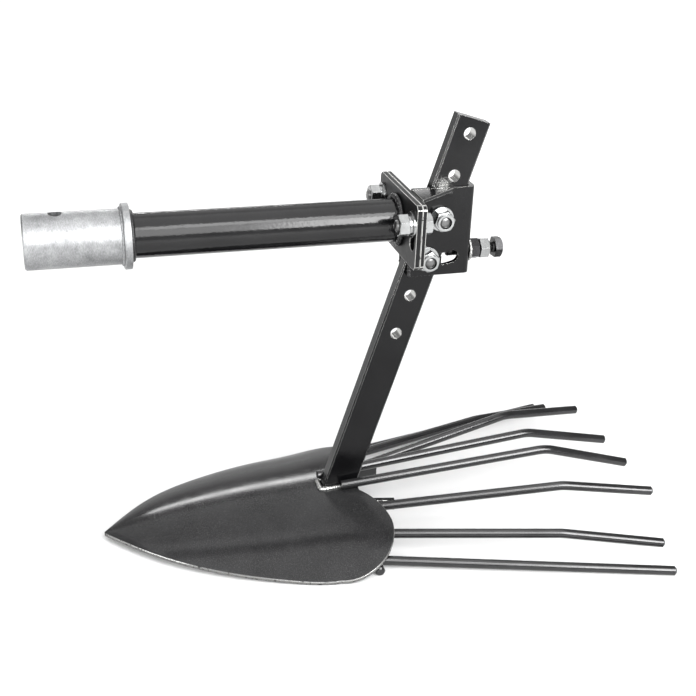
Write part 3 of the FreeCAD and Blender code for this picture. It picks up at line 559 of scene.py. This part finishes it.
def natural_spline(at, values, wanted):
    """Values of the natural cubic spline through the given rows."""
    count = len(at)
    gap = np.diff(at)
    matrix = np.zeros((count, count))
    right = np.zeros((count, values.shape[1]))
    matrix[0, 0] = matrix[-1, -1] = 1
    for i in range(1, count - 1):
        matrix[i, i - 1 : i + 2] = gap[i - 1], 2 * (gap[i - 1] + gap[i]), gap[i]
        slope = (values[i + 1] - values[i]) / gap[i] - (values[i] - values[i - 1]) / gap[i - 1]
        right[i] = 6 * slope
    bend = np.linalg.solve(matrix, right)
    spot = np.clip(np.searchsorted(at, wanted) - 1, 0, count - 2)
    width = gap[spot][:, None]
    low = (at[spot + 1] - wanted)[:, None]
    high = (wanted - at[spot])[:, None]
    curve = (bend[spot] * low**3 + bend[spot + 1] * high**3) / (6 * width)
    curve += (values[spot] / width - bend[spot] * width / 6) * low
    curve += (values[spot + 1] / width - bend[spot + 1] * width / 6) * high
    return curve


steps_between = np.linalg.norm(np.diff(sections[:, :3], axis=0), axis=1)
knots = np.concatenate([[0], np.cumsum(steps_between)])
dense = natural_spline(knots, sections, np.linspace(0, knots[-1], 900))


def dome_at(x, y):
    """Height of the share's upper face above its section's datum, and its half width."""
    half, rim, rise = (np.interp(x, dense[:, 0], dense[:, k]) for k in (1, 2, 3))
    bow = (half**2 + rise**2) / (2 * rise)
    return rim + share_gauge + rise - bow + np.sqrt(np.maximum(bow**2 - y**2, 0)), half


print("the dome is", round(float(dome_at(-15.6, 0)[0]), 1), "mm high at its widest section")

# %% [markdown]
# ### The share's outline
# Seen from above, the outline is a pointed heart. Its front sides follow the sections' half
# widths. Two lobes and two heels are arcs, and a slot lets the shank through from behind. Only one
# half is worked out, and the other is its mirror image.

# %% The plan outline
def arc_through(first, middle, last, count):
    """Points of the circular arc through three plan points."""
    a, b, c = (complex(*p) for p in (first, middle, last))
    ratio = (c - a) / (b - a)
    centre = a - (a - b) * (ratio - abs(ratio) ** 2) / (2j * ratio.imag)
    radius = abs(a - centre)
    start = math.atan2((a - centre).imag, (a - centre).real)
    sweep = math.atan2(((c - centre) / (a - centre)).imag, ((c - centre) / (a - centre)).real)
    through = math.atan2(((b - centre) / (a - centre)).imag, ((b - centre) / (a - centre)).real)
    if sweep * through < 0:
        sweep -= math.copysign(2 * math.pi, sweep)
    angles = start + sweep * np.linspace(0, 1, count)
    across, upward = radius * np.cos(angles), radius * np.sin(angles)
    return np.column_stack([centre.real + across, centre.imag + upward])


shank_width, shank_thickness = 35.7, 14.7
fit = 0.3  # the gap between shank and slot, which the weld bridges
crown_behind_shank, crown_before_shank = 41.0, 38.7  # heights at which the shank meets the dome
tilt = math.atan2(shank_up.x, shank_up.z)
notch_x = crown_behind_shank * math.tan(tilt) + shank_width / 2 / math.cos(tilt) + fit
slot_front = crown_before_shank * math.tan(tilt) - (shank_width / 2 + fit) / math.cos(tilt)
slot_half = shank_thickness / 2 + fit

# Stations along the share and half widths across it, as in the solid. bulge and inside are the
# middle points of the lobe's arc and of the heel's.
tip_x, nose_x, widest_x, lobe_rear = -239.6, -225, -15.6, 52.4
widest_half, lobe_half, notch_half = 123.8, 71.0, 19.0
bulge = (widest_x + 0.67 * (lobe_rear - widest_x), widest_half - 0.16 * (widest_half - lobe_half))
inside = (notch_x + 0.68 * (lobe_rear - notch_x), notch_half + 0.46 * (lobe_half - notch_half))
nose = np.linspace(tip_x, nose_x, 12)
front_x = np.concatenate([nose[:-1], np.linspace(nose_x, widest_x, 90)])
side = np.column_stack([front_x, dome_at(front_x, 0)[1]])
lobe = arc_through((widest_x, widest_half), bulge, (lobe_rear, lobe_half), 44)
heel = arc_through((lobe_rear, lobe_half), inside, (notch_x, notch_half), 30)
mouth = [(notch_x, 14.0), (notch_x, slot_half + 1.5), (notch_x, slot_half)]
cheek = [(x, slot_half) for x in np.linspace(notch_x - 2, slot_front, 16)]
back = [(slot_front, 4.0)]
half_outline = np.array([*side, *lobe[1:], *heel[1:], *mouth, *cheek, *back])
outline = np.array([*half_outline, *(half_outline[::-1] * (1, -1))])
print(len(outline), "points round the share; slot", round(notch_x - slot_front, 1), "mm long")

# %% [markdown]
# ### Filling the outline
# One polygon with hundreds of corners can't follow a dome, and a plain grid leaves steps at the
# edge. So a staggered net of points fills the outline, a band along the border stays free for the
# rounded rim, and a triangulation that keeps the border joins net and border into even triangles.

# %% Net and border
from_before = outline - np.roll(outline, 1, axis=0)
to_after = np.roll(outline, -1, axis=0) - outline
from_before /= np.linalg.norm(from_before, axis=1)[:, None]
to_after /= np.linalg.norm(to_after, axis=1)[:, None]
tangent = from_before + to_after
tangent /= np.maximum(np.linalg.norm(tangent, axis=1)[:, None], 0.2)
inward = np.column_stack([tangent[:, 1], -tangent[:, 0]])
following = np.roll(outline, -1, axis=0)
signed_area = np.sum(outline[:, 0] * following[:, 1] - outline[:, 1] * following[:, 0])
inward *= -1 if signed_area > 0 else 1


def inset(depth):
    """The outline drawn in by some millimetres."""
    return outline + inward * depth


def is_within(points, loop, margin):
    """Points inside a closed loop and at least a margin from it."""
    inside_it = np.zeros(len(points), bool)
    nearest = np.full(len(points), 1e9)
    for a, b in zip(loop, np.roll(loop, -1, axis=0)):
        crosses = (a[1] > points[:, 1]) != (b[1] > points[:, 1])
        with np.errstate(divide="ignore", invalid="ignore"):
            at = (b[0] - a[0]) * (points[:, 1] - a[1]) / (b[1] - a[1]) + a[0]
        inside_it ^= crosses & (points[:, 0] < at)
        run = b - a
        t = np.clip(((points - a) @ run) / (run @ run), 0, 1)
        nearest = np.minimum(nearest, np.linalg.norm(points - a - t[:, None] * run, axis=1))
    return inside_it & (nearest > margin)


rim_band, stagger = 1.2, 0.37
net_x, net_y = np.arange(-238, 53, 3.0), np.arange(-123, 124, 2.6)
border = inset(rim_band)
net = np.array([(x + stagger * (k % 2), y) for k, y in enumerate(net_y) for x in net_x])
net = net[is_within(net, border, 1.3)]
plan = [Vector(p) for p in (*border, *net)]
found = delaunay_2d_cdt(plan, [], [list(range(len(border)))], 1, 1e-6)
plan, triangles = np.array([tuple(p) for p in found[0]]), found[2]
print(len(triangles), "triangles fill the outline")

# %% Lift onto the dome and close the rim
lift = floor_level / MM - dense[:, 2].min()
# How far each row of the rim is inside the outline, and how far below the upper face
rim_rows = [
    (0.55, 0.0),
    (0.16, 0.16),
    (0.0, 0.6),
    (0.0, share_gauge - 0.6),
    (0.16, share_gauge - 0.16),
    (0.55, share_gauge),
]
# How much of each rim band is bare steel, partly scuffs and partly a painted highlight on the rim
rim_wear_and_highlight = (0.0, 0.35, 0.9, 0.25, 0.2, 0.1, 0.0)  # of the bands between the rows, from the top


def lifted(points, below):
    """Plan points put on the dome, some millimetres below its upper face, in metres."""
    height = dome_at(points[:, 0], points[:, 1])[0] - below + lift
    return np.column_stack([points[:, 0] + foot.x / MM, points[:, 1], height]) * MM


share = bmesh.new()
worn_and_highlit = share.faces.layers.float.new("wear_and_highlight")
top = [share.verts.new(p) for p in lifted(plan, 0)]
under = [share.verts.new(p) for p in lifted(plan, share_gauge)]
for corners in triangles:
    share.faces.new([top[i] for i in corners])
    share.faces.new([under[i] for i in reversed(corners)])
count = len(border)
loops = [top[:count]]
loops += [[share.verts.new(p) for p in lifted(inset(depth), below)] for depth, below in rim_rows]
loops.append(under[:count])
for one, other, wear_and_highlight in zip(loops, loops[1:], rim_wear_and_highlight):
    for i in range(count):
        j = (i + 1) % count
        face = share.faces.new((one[i], one[j], other[j], other[i]))
        face[worn_and_highlit] = wear_and_highlight
bmesh.ops.recalc_face_normals(share, faces=share.faces)
for face in share.faces:
    face.smooth = True
share_mesh = bpy.data.meshes.new("pressed_share")
share.to_mesh(share_mesh)
share.free()
pressed_share = as_piece("pressed_share", share_mesh, "digger", "share_steel", share_lacquer)
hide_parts("share")
print(len(share_mesh.polygons), "faces on the share")

# %% [markdown]
# ## Threads
# A thread is a ridge that climbs round the screw. It can be turned with a Screw modifier, or
# painted as stripes, but stripes lie flat at the bolt's outline. Here a spiral with a small
# diamond section swept along it gives the real ridge. Geometry Nodes build it once for any
# length, and the result is made a plain mesh and set in place on each bolt.

# %% A node tree and how it is baked
def node_tree(name, sockets):
    """A Geometry Nodes tree with named inputs, and the sockets that give their values."""
    tree = bpy.data.node_groups.new(name, "GeometryNodeTree")
    for label, kind in sockets.items():
        tree.interface.new_socket(name=label, in_out="INPUT", socket_type=f"NodeSocket{kind}")
    tree.interface.new_socket(name="Geometry", in_out="OUTPUT", socket_type="NodeSocketGeometry")
    return tree, add(tree, "NodeGroupInput")


def baked(tree, mesh, values):
    """The plain mesh that a tree makes from a mesh and its named inputs."""
    holder = bpy.data.objects.new("holder", mesh)
    scene.collection.objects.link(holder)
    modifier = holder.modifiers.new(tree.name, "NODES")
    modifier.node_group = tree
    for item in tree.interface.items_tree:
        if item.in_out == "INPUT" and item.name in values:
            modifier[item.identifier] = values[item.name]
    return evaluated(holder)


thread_sockets = {"Geometry": "Geometry", "Radius": "Float", "Pitch": "Float"}
thread_sockets.update({"Length": "Float", "Finish": "Material"})
thread_tree, given = node_tree("Screw thread", thread_sockets)
print("the thread takes", list(thread_sockets))

# %% The thread tree
turns = {0: given["Length"], 1: given["Pitch"]}
turns = add(thread_tree, "ShaderNodeMath", turns, operation="DIVIDE")[0]
ridge_size = {0: given["Pitch"], 1: 0.5}
ridge_size = add(thread_tree, "ShaderNodeMath", ridge_size, operation="MULTIPLY")[0]
line = {0: given["Radius"], 1: ridge_size}
line = add(thread_tree, "ShaderNodeMath", line, operation="SUBTRACT")[0]
climb = {"Resolution": 40, "Rotations": turns, "Height": given["Length"]}
climb.update({"Start Radius": line, "End Radius": line})
climb = add(thread_tree, "GeometryNodeCurveSpiral", climb)[0]
section = {"Resolution": 4, "Radius": ridge_size}
section = add(thread_tree, "GeometryNodeCurvePrimitiveCircle", section)[0]
ridge = {"Curve": climb, "Profile Curve": section, "Fill Caps": True}
ridge = add(thread_tree, "GeometryNodeCurveToMesh", ridge)[0]
ridge = add(thread_tree, "GeometryNodeRealizeInstances", {"Geometry": ridge})[0]
ridge = {"Geometry": ridge, "Material": given["Finish"]}
ridge = add(thread_tree, "GeometryNodeSetMaterial", ridge)[0]
add(thread_tree, "NodeGroupOutput", {"Geometry": ridge})
print("thread tree with", len(thread_tree.nodes), "nodes")

# %% [markdown]
# ## Bolts
# A real bolt is forged and then rolled: a hexagon head, a plain shank as thick as the thread, and
# the thread on a thinner core with a chamfered end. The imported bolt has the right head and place,
# so its head is cut off a merged copy and kept. The stem under it is a turned profile, as in a
# lathe, and the thread from the tree goes round it.

# %% Sizes of an M12 bolt, in millimetres, and its stem
thread_radius, thread_pitch, core_radius, plain_radius = 6.0, 1.75, 5.25, 5.97
head_height, end_chamfer = 8.0, 0.9
thread_start, thread_short_by = 0.8, 1.2  # the thread stops just before the end and the seat
stem_sides = 40


def turned_stem(length, plain):
    """A stem from its end up to the seat of the head; its upper part, plain, has no thread."""
    profile = [(0, 0), (core_radius - end_chamfer, 0), (core_radius, end_chamfer)]
    profile.append((core_radius, length - plain))
    if plain:
        profile += [(plain_radius, length - plain), (plain_radius, length)]
    profile.append((0, length))
    stem = bmesh.new()
    rings = []
    for radius, height in profile:
        angles = [2 * math.pi * k / stem_sides for k in range(stem_sides if radius else 1)]
        ring = [(radius * MM * math.cos(a), radius * MM * math.sin(a)) for a in angles]
        rings.append([stem.verts.new((x, y, height * MM)) for x, y in ring])
    for one, other in zip(rings, rings[1:]):
        for k in range(stem_sides):
            after = (k + 1) % stem_sides
            if len(one) == 1:
                stem.faces.new((one[0], other[after], other[k]))
            elif len(other) == 1:
                stem.faces.new((one[k], one[after], other[0]))
            else:
                stem.faces.new((one[k], one[after], other[after], other[k]))
    bmesh.ops.recalc_face_normals(stem, faces=stem.faces)
    mesh = bpy.data.meshes.new("stem")
    stem.to_mesh(mesh)
    stem.free()
    return mesh


print("core", core_radius, "mm under a thread of", thread_radius, "mm")


# %% Bolts with threads
def bolt(node, centre, towards_head, plain=0.0, finish=bright_zinc):
    """Replace a packed bolt: its own head, a turned stem and a thread on it."""
    towards_head = towards_head.normalized()
    reach = [(v.co - centre).dot(towards_head) for v in nodes[node].data.vertices]
    seat, end = max(reach) - head_height * MM, min(reach)
    length = seat - end
    # The stem and thread take the darker zinc, whose darkness is painted shade; the stop screw keeps its black
    # oxide
    thread_finish = thread_zinc_painted_shade if finish is bright_zinc else finish

    # The head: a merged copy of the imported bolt, cut off at its seat and closed
    shape = merged(node)
    everything = shape.verts[:] + shape.edges[:] + shape.faces[:]
    cut = {"plane_co": centre + towards_head * (seat + 0.02 * MM), "plane_no": towards_head}
    bmesh.ops.bisect_plane(shape, geom=everything, clear_inner=True, **cut)
    bmesh.ops.holes_fill(shape, edges=shape.edges[:])
    head = rounded(shape, hardware_radius * MM)

    # The stem and its thread, made upright and then put in place
    stem = turned_stem(length / MM, plain)
    sizes = {"Radius": thread_radius * MM, "Pitch": thread_pitch * MM, "Finish": thread_finish}
    sizes["Length"] = length - (plain + thread_short_by) * MM
    thread = baked(thread_tree, bpy.data.meshes.new("none"), sizes)
    thread.transform(Matrix.Translation((0, 0, thread_start * MM)))
    turn = towards_head.to_track_quat("Z", "Y").to_matrix().to_4x4()
    place = Matrix.Translation(centre + towards_head * end) @ turn

    joined = bmesh.new()
    joined.from_mesh(head)
    faces_of_head = len(joined.faces)
    for extra in (stem, thread):
        extra.transform(place)
        joined.from_mesh(extra)
    joined.faces.ensure_lookup_table()
    for face in joined.faces[faces_of_head:]:
        face.material_index = 1
        face.smooth = True
    result = bpy.data.meshes.new(node)
    joined.to_mesh(result)
    joined.free()
    result.set_sharp_from_angle(angle=math.radians(35))
    body, slot = body_of_node[node], slot_of_node[node]
    piece = as_piece(f"threaded_{node}", result, body, slot, finish, thread_finish)
    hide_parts(node)
    print(node, "is", round(length / MM, 1), "mm long under its head")


flange_bolt_side, flange_bolt_above, flange_face = 47, 10.8, 278
hole_pitch, stop_screw_above = 43.3, -36
bolt(
    "flange_bolt_left",
    on_drawbar(flange_face, -flange_bolt_side, flange_bolt_above),
    drawbar_axis,
    plain=10.0,
)
bolt(
    "flange_bolt_right",
    on_drawbar(flange_face, flange_bolt_side, flange_bolt_above),
    drawbar_axis,
    plain=10.0,
)
bolt("pivot_bolt", on_shank(0, 0, 0), sideways, plain=30.0)
bolt("clamp_bolt", on_shank(0, 0, -hole_pitch), sideways, plain=30.0)
bolt("stop_screw", on_drawbar(340, 0, stop_screw_above), drawbar_axis, finish=black_oxide)

# %% [markdown]
# ## Welds
# A stick weld is a row of small overlapping puddles. One smooth bead with a bump texture looks
# like putty from the side, and modelling each puddle by hand takes too long. Geometry Nodes walk
# a path instead, drop a ball at each step, and turn it along the path, with a little
# difference in size from a fixed seed. Beads on the drawbar and bracket are under enamel. Those
# at the share's foot and at the stop screw's boss are bare.

# %% The weld tree
weld_sockets = {"Geometry": "Geometry", "Step": "Float", "Width": "Float", "Height": "Float"}
weld_sockets.update({"Unevenness": "Float", "Seed": "Int", "Finish": "Material"})
weld_tree, given = node_tree("Weld bead", weld_sockets)
path = add(weld_tree, "GeometryNodeMeshToCurve", {"Mesh": given["Geometry"]})[0]
path = {"Curve": path, "Length": given["Step"]}
path = add(weld_tree, "GeometryNodeResampleCurve", path, mode="LENGTH")[0]
heading = add(weld_tree, "GeometryNodeInputTangent")[0]
turned = {"Vector": heading}
turned = add(weld_tree, "FunctionNodeAlignRotationToVector", turned, axis="X")[0]
size = {"X": given["Width"], "Y": given["Width"], "Z": given["Height"]}
size = add(weld_tree, "ShaderNodeCombineXYZ", size)[0]
least = {0: 1.0, 1: given["Unevenness"]}
least = add(weld_tree, "ShaderNodeMath", least, operation="SUBTRACT")[0]
most = {0: 1.0, 1: given["Unevenness"]}
most = add(weld_tree, "ShaderNodeMath", most, operation="ADD")[0]
vary = {2: least, 3: most, "Seed": given["Seed"]}
vary = add(weld_tree, "FunctionNodeRandomValue", vary, data_type="FLOAT")[1]
size = add(weld_tree, "ShaderNodeVectorMath", {0: size, "Scale": vary}, operation="SCALE")[0]
puddle = {"Radius": 0.5, "Segments": 9, "Rings": 6}
puddle = add(weld_tree, "GeometryNodeMeshUVSphere", puddle)[0]
beads = {"Points": path, "Instance": puddle, "Rotation": turned, "Scale": size}
beads = add(weld_tree, "GeometryNodeInstanceOnPoints", beads)[0]
beads = add(weld_tree, "GeometryNodeRealizeInstances", {"Geometry": beads})[0]
beads = add(weld_tree, "GeometryNodeSetShadeSmooth", {"Geometry": beads})[0]
beads = {"Geometry": beads, "Material": given["Finish"]}
beads = add(weld_tree, "GeometryNodeSetMaterial", beads)[0]
add(weld_tree, "NodeGroupOutput", {"Geometry": beads})
print("weld tree with", len(weld_tree.nodes), "nodes")


# %% Lay a bead
def weld(name, points, body, finish, width, step, unevenness, seed, closed=False):
    """A bead along points of the row frame; width and step are in millimetres."""
    path = bpy.data.meshes.new(name)
    links = [(i, i + 1) for i in range(len(points) - 1)]
    if closed:
        links.append((len(points) - 1, 0))
    path.from_pydata([tuple(p) for p in points], links, [])
    values = {"Step": step * MM, "Width": width * MM, "Height": width * MM}
    values.update({"Unevenness": unevenness, "Seed": seed, "Finish": finish})
    piece = as_piece(name, baked(weld_tree, path, values), body, "black_paint")
    print(name, "has", len(piece.data.polygons), "faces")


def ring_on_drawbar(along, radius, above=0, count=72):
    """Points of a circle across the drawbar's axis, in millimetres along it and above it."""
    angles = [2 * math.pi * k / count for k in range(count)]
    ring = [(radius * math.cos(a), above + radius * math.sin(a)) for a in angles]
    return [on_drawbar(along, side, height) for side, height in ring]


flange_ring, collar_ring = ring_on_drawbar(265.8, 23.2), ring_on_drawbar(8.2, 22.3)
sleeve_ring = ring_on_drawbar(-0.6, 26.3)
across_ring = (flange_ring[0] - flange_ring[len(flange_ring) // 2]).length
print("the weld at the flange is", round(math.pi * across_ring / MM), "mm long")

# %% Welds on the drawbar and the bracket
# Name, points, body, finish, width, step, unevenness, seed, and whether it is a ring
weld("weld_drawbar_to_flange", flange_ring, "drawbar", weld_enamel, 7.0, 2.0, 0.10, 3, True)
weld("weld_collar_to_drawbar", collar_ring, "drawbar", weld_enamel, 5.0, 1.6, 0.1, 4, True)
weld("weld_sleeve_to_collar", sleeve_ring, "drawbar", matt_zinc, 2.8, 1.1, 0.25, 5, True)

plate_back = 279.0  # millimetres along the drawbar, just behind the rear flange plate
leg_side = 12.85  # from the middle to the outer face of each bracket leg
bead_off_leg = 0.8
gusset_above = 29.0
for side_name, side_sign, top_end in (("left", -1, 29), ("right", 1, 22)):
    beside = side_sign * (leg_side + bead_off_leg)
    points = [on_drawbar(plate_back, beside, z) for z in np.linspace(-55, top_end, 30)]
    weld(f"weld_leg_{side_name}", points, "bracket", weld_enamel, 4.2, 1.3, 0.14, 7)
points = [on_drawbar(plate_back, y, gusset_above) for y in np.linspace(-42, -15, 12)]
weld("weld_gusset_to_flange", points, "bracket", weld_enamel, 3.6, 1.2, 0.14, 9)
beside = -leg_side - bead_off_leg
points = [on_drawbar(x, beside, gusset_above) for x in np.linspace(281, 318, 16)]
weld("weld_gusset_to_leg", points, "bracket", weld_enamel, 3.4, 1.2, 0.14, 10)
boss_ring = ring_on_drawbar(345.2, 10.4, stop_screw_above, 24)
weld("weld_boss_to_bracket", boss_ring, "bracket", bare_weld, 3.6, 1.3, 0.22, 12, True)

# %% The weld round the shank's foot
front_edge = slot_front - fit
rear_edge = notch_x - 0.5
bead_off_side, bead_off_front, bead_above = 1.4, 1.6, 0.6


def on_share(x, y, above):
    """A point above the share's upper face, given in plan millimetres from the shank's foot."""
    height = float(dome_at(np.array([x]), np.array([y]))[0][0]) + lift + above
    return Vector((foot.x + x * MM, y * MM, height * MM))


along_side = np.linspace(rear_edge, front_edge, 18)
around = [(x, -slot_half - bead_off_side) for x in along_side]
around += [(front_edge - bead_off_front, y) for y in np.linspace(-slot_half, slot_half, 7)]
around += [(x, slot_half + bead_off_side) for x in np.linspace(front_edge, rear_edge, 18)]
points = [on_share(x, y, bead_above) for x, y in around]
weld("weld_shank_foot", points, "digger", bare_weld, 5.4, 1.1, 0.22, 21)

# %% [markdown]
# ## Studio
# The photograph was taken on white, with soft lamps. More light would whiten a floor too, but it
# would also bleach the steel. So the floor keeps the object's shadow as plain matt paint, and a
# glow that only the camera, mirrors and glass see lifts it to white away from the plough. Dark
# gloss shows little but what it mirrors, so what the lamps look like matters more than how much
# they light.

# %% Floor
floor_reach = 40  # metres each way, so that its edge is never seen
glow_near, glow_far = 0.1, 0.8  # weak under the plough, where its shadow has to show
floor_mesh = bpy.data.meshes.new("studio_floor")
corners = [(-1, -1), (1, -1), (1, 1), (-1, 1)]
corners = [(floor_reach * x, floor_reach * y, floor_level) for x, y in corners]
floor_mesh.from_pydata(corners, [], [(0, 1, 2, 3)])
floor = bpy.data.objects.new("studio_floor", floor_mesh)
scene.collection.objects.link(floor)
floor_paint, tree = empty_material("pale_studio_floor_paint")
place = add(tree, "ShaderNodeTexCoord")["Object"]
away = add(tree, "ShaderNodeVectorMath", {0: place}, operation="LENGTH")["Value"]
glow = add(tree, "ShaderNodeMapRange", {0: away, 1: 0.5, 2: 1.9, 3: glow_near, 4: glow_far})[0]
matt = add(tree, "ShaderNodeBsdfDiffuse", {"Color": linear("c8c8c8")})[0]
lit = add(tree, "ShaderNodeEmission", {"Color": (1, 1, 1, 1), "Strength": glow})[0]
seen = add(tree, "ShaderNodeAddShader", {0: matt, 1: lit})[0]
rays = add(tree, "ShaderNodeLightPath")
shown = {0: rays["Is Camera Ray"], 1: rays["Is Glossy Ray"]}
shown = add(tree, "ShaderNodeMath", shown, operation="MAXIMUM")[0]
shown = {0: shown, 1: rays["Is Transmission Ray"]}
shown = add(tree, "ShaderNodeMath", shown, operation="MAXIMUM")[0]
unseen = add(tree, "ShaderNodeBsdfDiffuse", {"Color": linear("d0d0d0")})[0]
surface = add(tree, "ShaderNodeMixShader", {0: shown, 1: unseen, 2: seen})[0]
add(tree, "ShaderNodeOutputMaterial", {"Surface": surface})
floor.data.materials.append(floor_paint)
floor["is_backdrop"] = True
print("floor at", round(floor_level / MM, 1), "mm")

# %% [markdown]
# ### Room and lamps
# The room is white near the horizon and grey overhead. Upward faces then mirror a calm grey, and
# the long highlights come from lamps alone. Each lamp is a flat softbox that is placed where one
# face of the plough mirrors it. Its strength is given as how bright its own face looks, with
# white as 1, because that is what shows in gloss enamel.

# %% Room
horizon_level, overhead_level = 1.0, 0.32
world = bpy.data.worlds.new("studio_room")
scene.world = world
world.use_nodes = True
tree = world.node_tree
tree.nodes.clear()
aim = add(tree, "ShaderNodeTexCoord")["Generated"]
height = add(tree, "ShaderNodeSeparateXYZ", {0: aim})["Z"]
level = {0: height, 1: 0.05, 2: 0.24, 3: horizon_level, 4: overhead_level}
level = add(tree, "ShaderNodeMapRange", level)[0]
room = add(tree, "ShaderNodeBackground", {"Color": (1, 1, 1, 1), "Strength": level})[0]
add(tree, "ShaderNodeOutputWorld", {"Surface": room})
print("room at", horizon_level, "near the horizon and", overhead_level, "overhead")


# %% Softboxes
def softbox(name, at, turn, wide, deep, radiance, swing=0.0):
    """A rectangular lamp; turn leans it about X and swing turns it about Z, in degrees.

    A lamp's power in watts is its brightness times pi times its area.
    """
    lamp = bpy.data.lights.new(name, "AREA")
    lamp.shape = "RECTANGLE"
    lamp.size = wide
    lamp.size_y = deep
    lamp.energy = radiance * math.pi * wide * deep
    thing = bpy.data.objects.new(name, lamp)
    thing.location = at
    thing.rotation_euler = Euler((math.radians(turn), 0, math.radians(swing)))
    scene.collection.objects.link(thing)
    print(name, "gives", round(lamp.energy, 1), "W")


# Name, place in metres, turn, width and depth in metres, and how bright its face looks.
# Even light from above, and the wide pale band on top of the drawbar and the share
softbox("top_softbox", (0.05, -0.16, 1.4), 0, 1.9, 1.56, 1.8)
# The same further back, for the far flank of the share and the far tines
softbox("back_ceiling", (0.3, 1.52, 1.4), 0, 2.4, 1.8, 0.9)
# The bright band on the front of the drawbar, between the ceiling and the panels
softbox("front_fill", (0.6, -1.07, 1.32), 39, 1.1, 0.45, 10.0)
# The drawbar's lower band and the coupling's face on the left, the plates and nuts on the right
softbox("front_panel_left", (0.05, -1.53, 0.77), 63, 0.9, 0.95, 5.8)
softbox("front_panel_right", (0.95, -1.53, 0.77), 63, 0.9, 0.95, 17.5)
# The narrow side of the plates, the shank's front edge and the share's nose
softbox("left_panel", (-1.9, -0.95, 0.5), 80, 1.2, 1.2, 8.0, swing=-63)
# The thin bright line on the share's crown
softbox("ridge_strip", (0.22, 2.6, 0.84), -70, 1.06, 0.2, 14.0)
# A fainter line on the tines
softbox("low_back_strip", (1.5, 2.6, 0.8), -73, 1.0, 0.26, 2.8)

# %% [markdown]
# ## Camera
# The camera stands where the photographer's stood. Its place, direction and focal length were
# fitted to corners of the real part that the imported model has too. The lens is given in pixels of
# the square frame, and turned into millimetres on a full frame sensor, as Blender wants it.

# %% Camera at the photograph's angle
frame_pixels, focal_pixels = 696, 1116.78
middle_x, middle_y = 348.9, 344.2  # where the lens axis meets the frame
camera_data = bpy.data.cameras.new("photo_camera")
camera_data.sensor_width = 36.0
camera_data.lens = 36.0 * focal_pixels / frame_pixels
camera_data.shift_x = -(middle_x - frame_pixels / 2) / frame_pixels
camera_data.shift_y = (middle_y - frame_pixels / 2) / frame_pixels
camera_data.clip_end = 100
camera = bpy.data.objects.new("photo_camera", camera_data)
camera.location = (-0.07549, -0.99597, 0.36214)
camera_angles = (64.6823, -2.6386, -15.5328)
camera.rotation_euler = Euler(tuple(math.radians(a) for a in camera_angles))
scene.collection.objects.link(camera)
scene.camera = camera
scene.view_settings.view_transform = "Standard"
print("lens", round(camera_data.lens, 1), "mm")

# %% The box at load and at the end
boxes = {"at_load": bounds_at_load, "at_end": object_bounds()}
boxes = {name: [list(corner) for corner in box] for name, box in boxes.items()}
print("box at the end", [round(c, 3) for corner in boxes["at_end"] for c in corner])
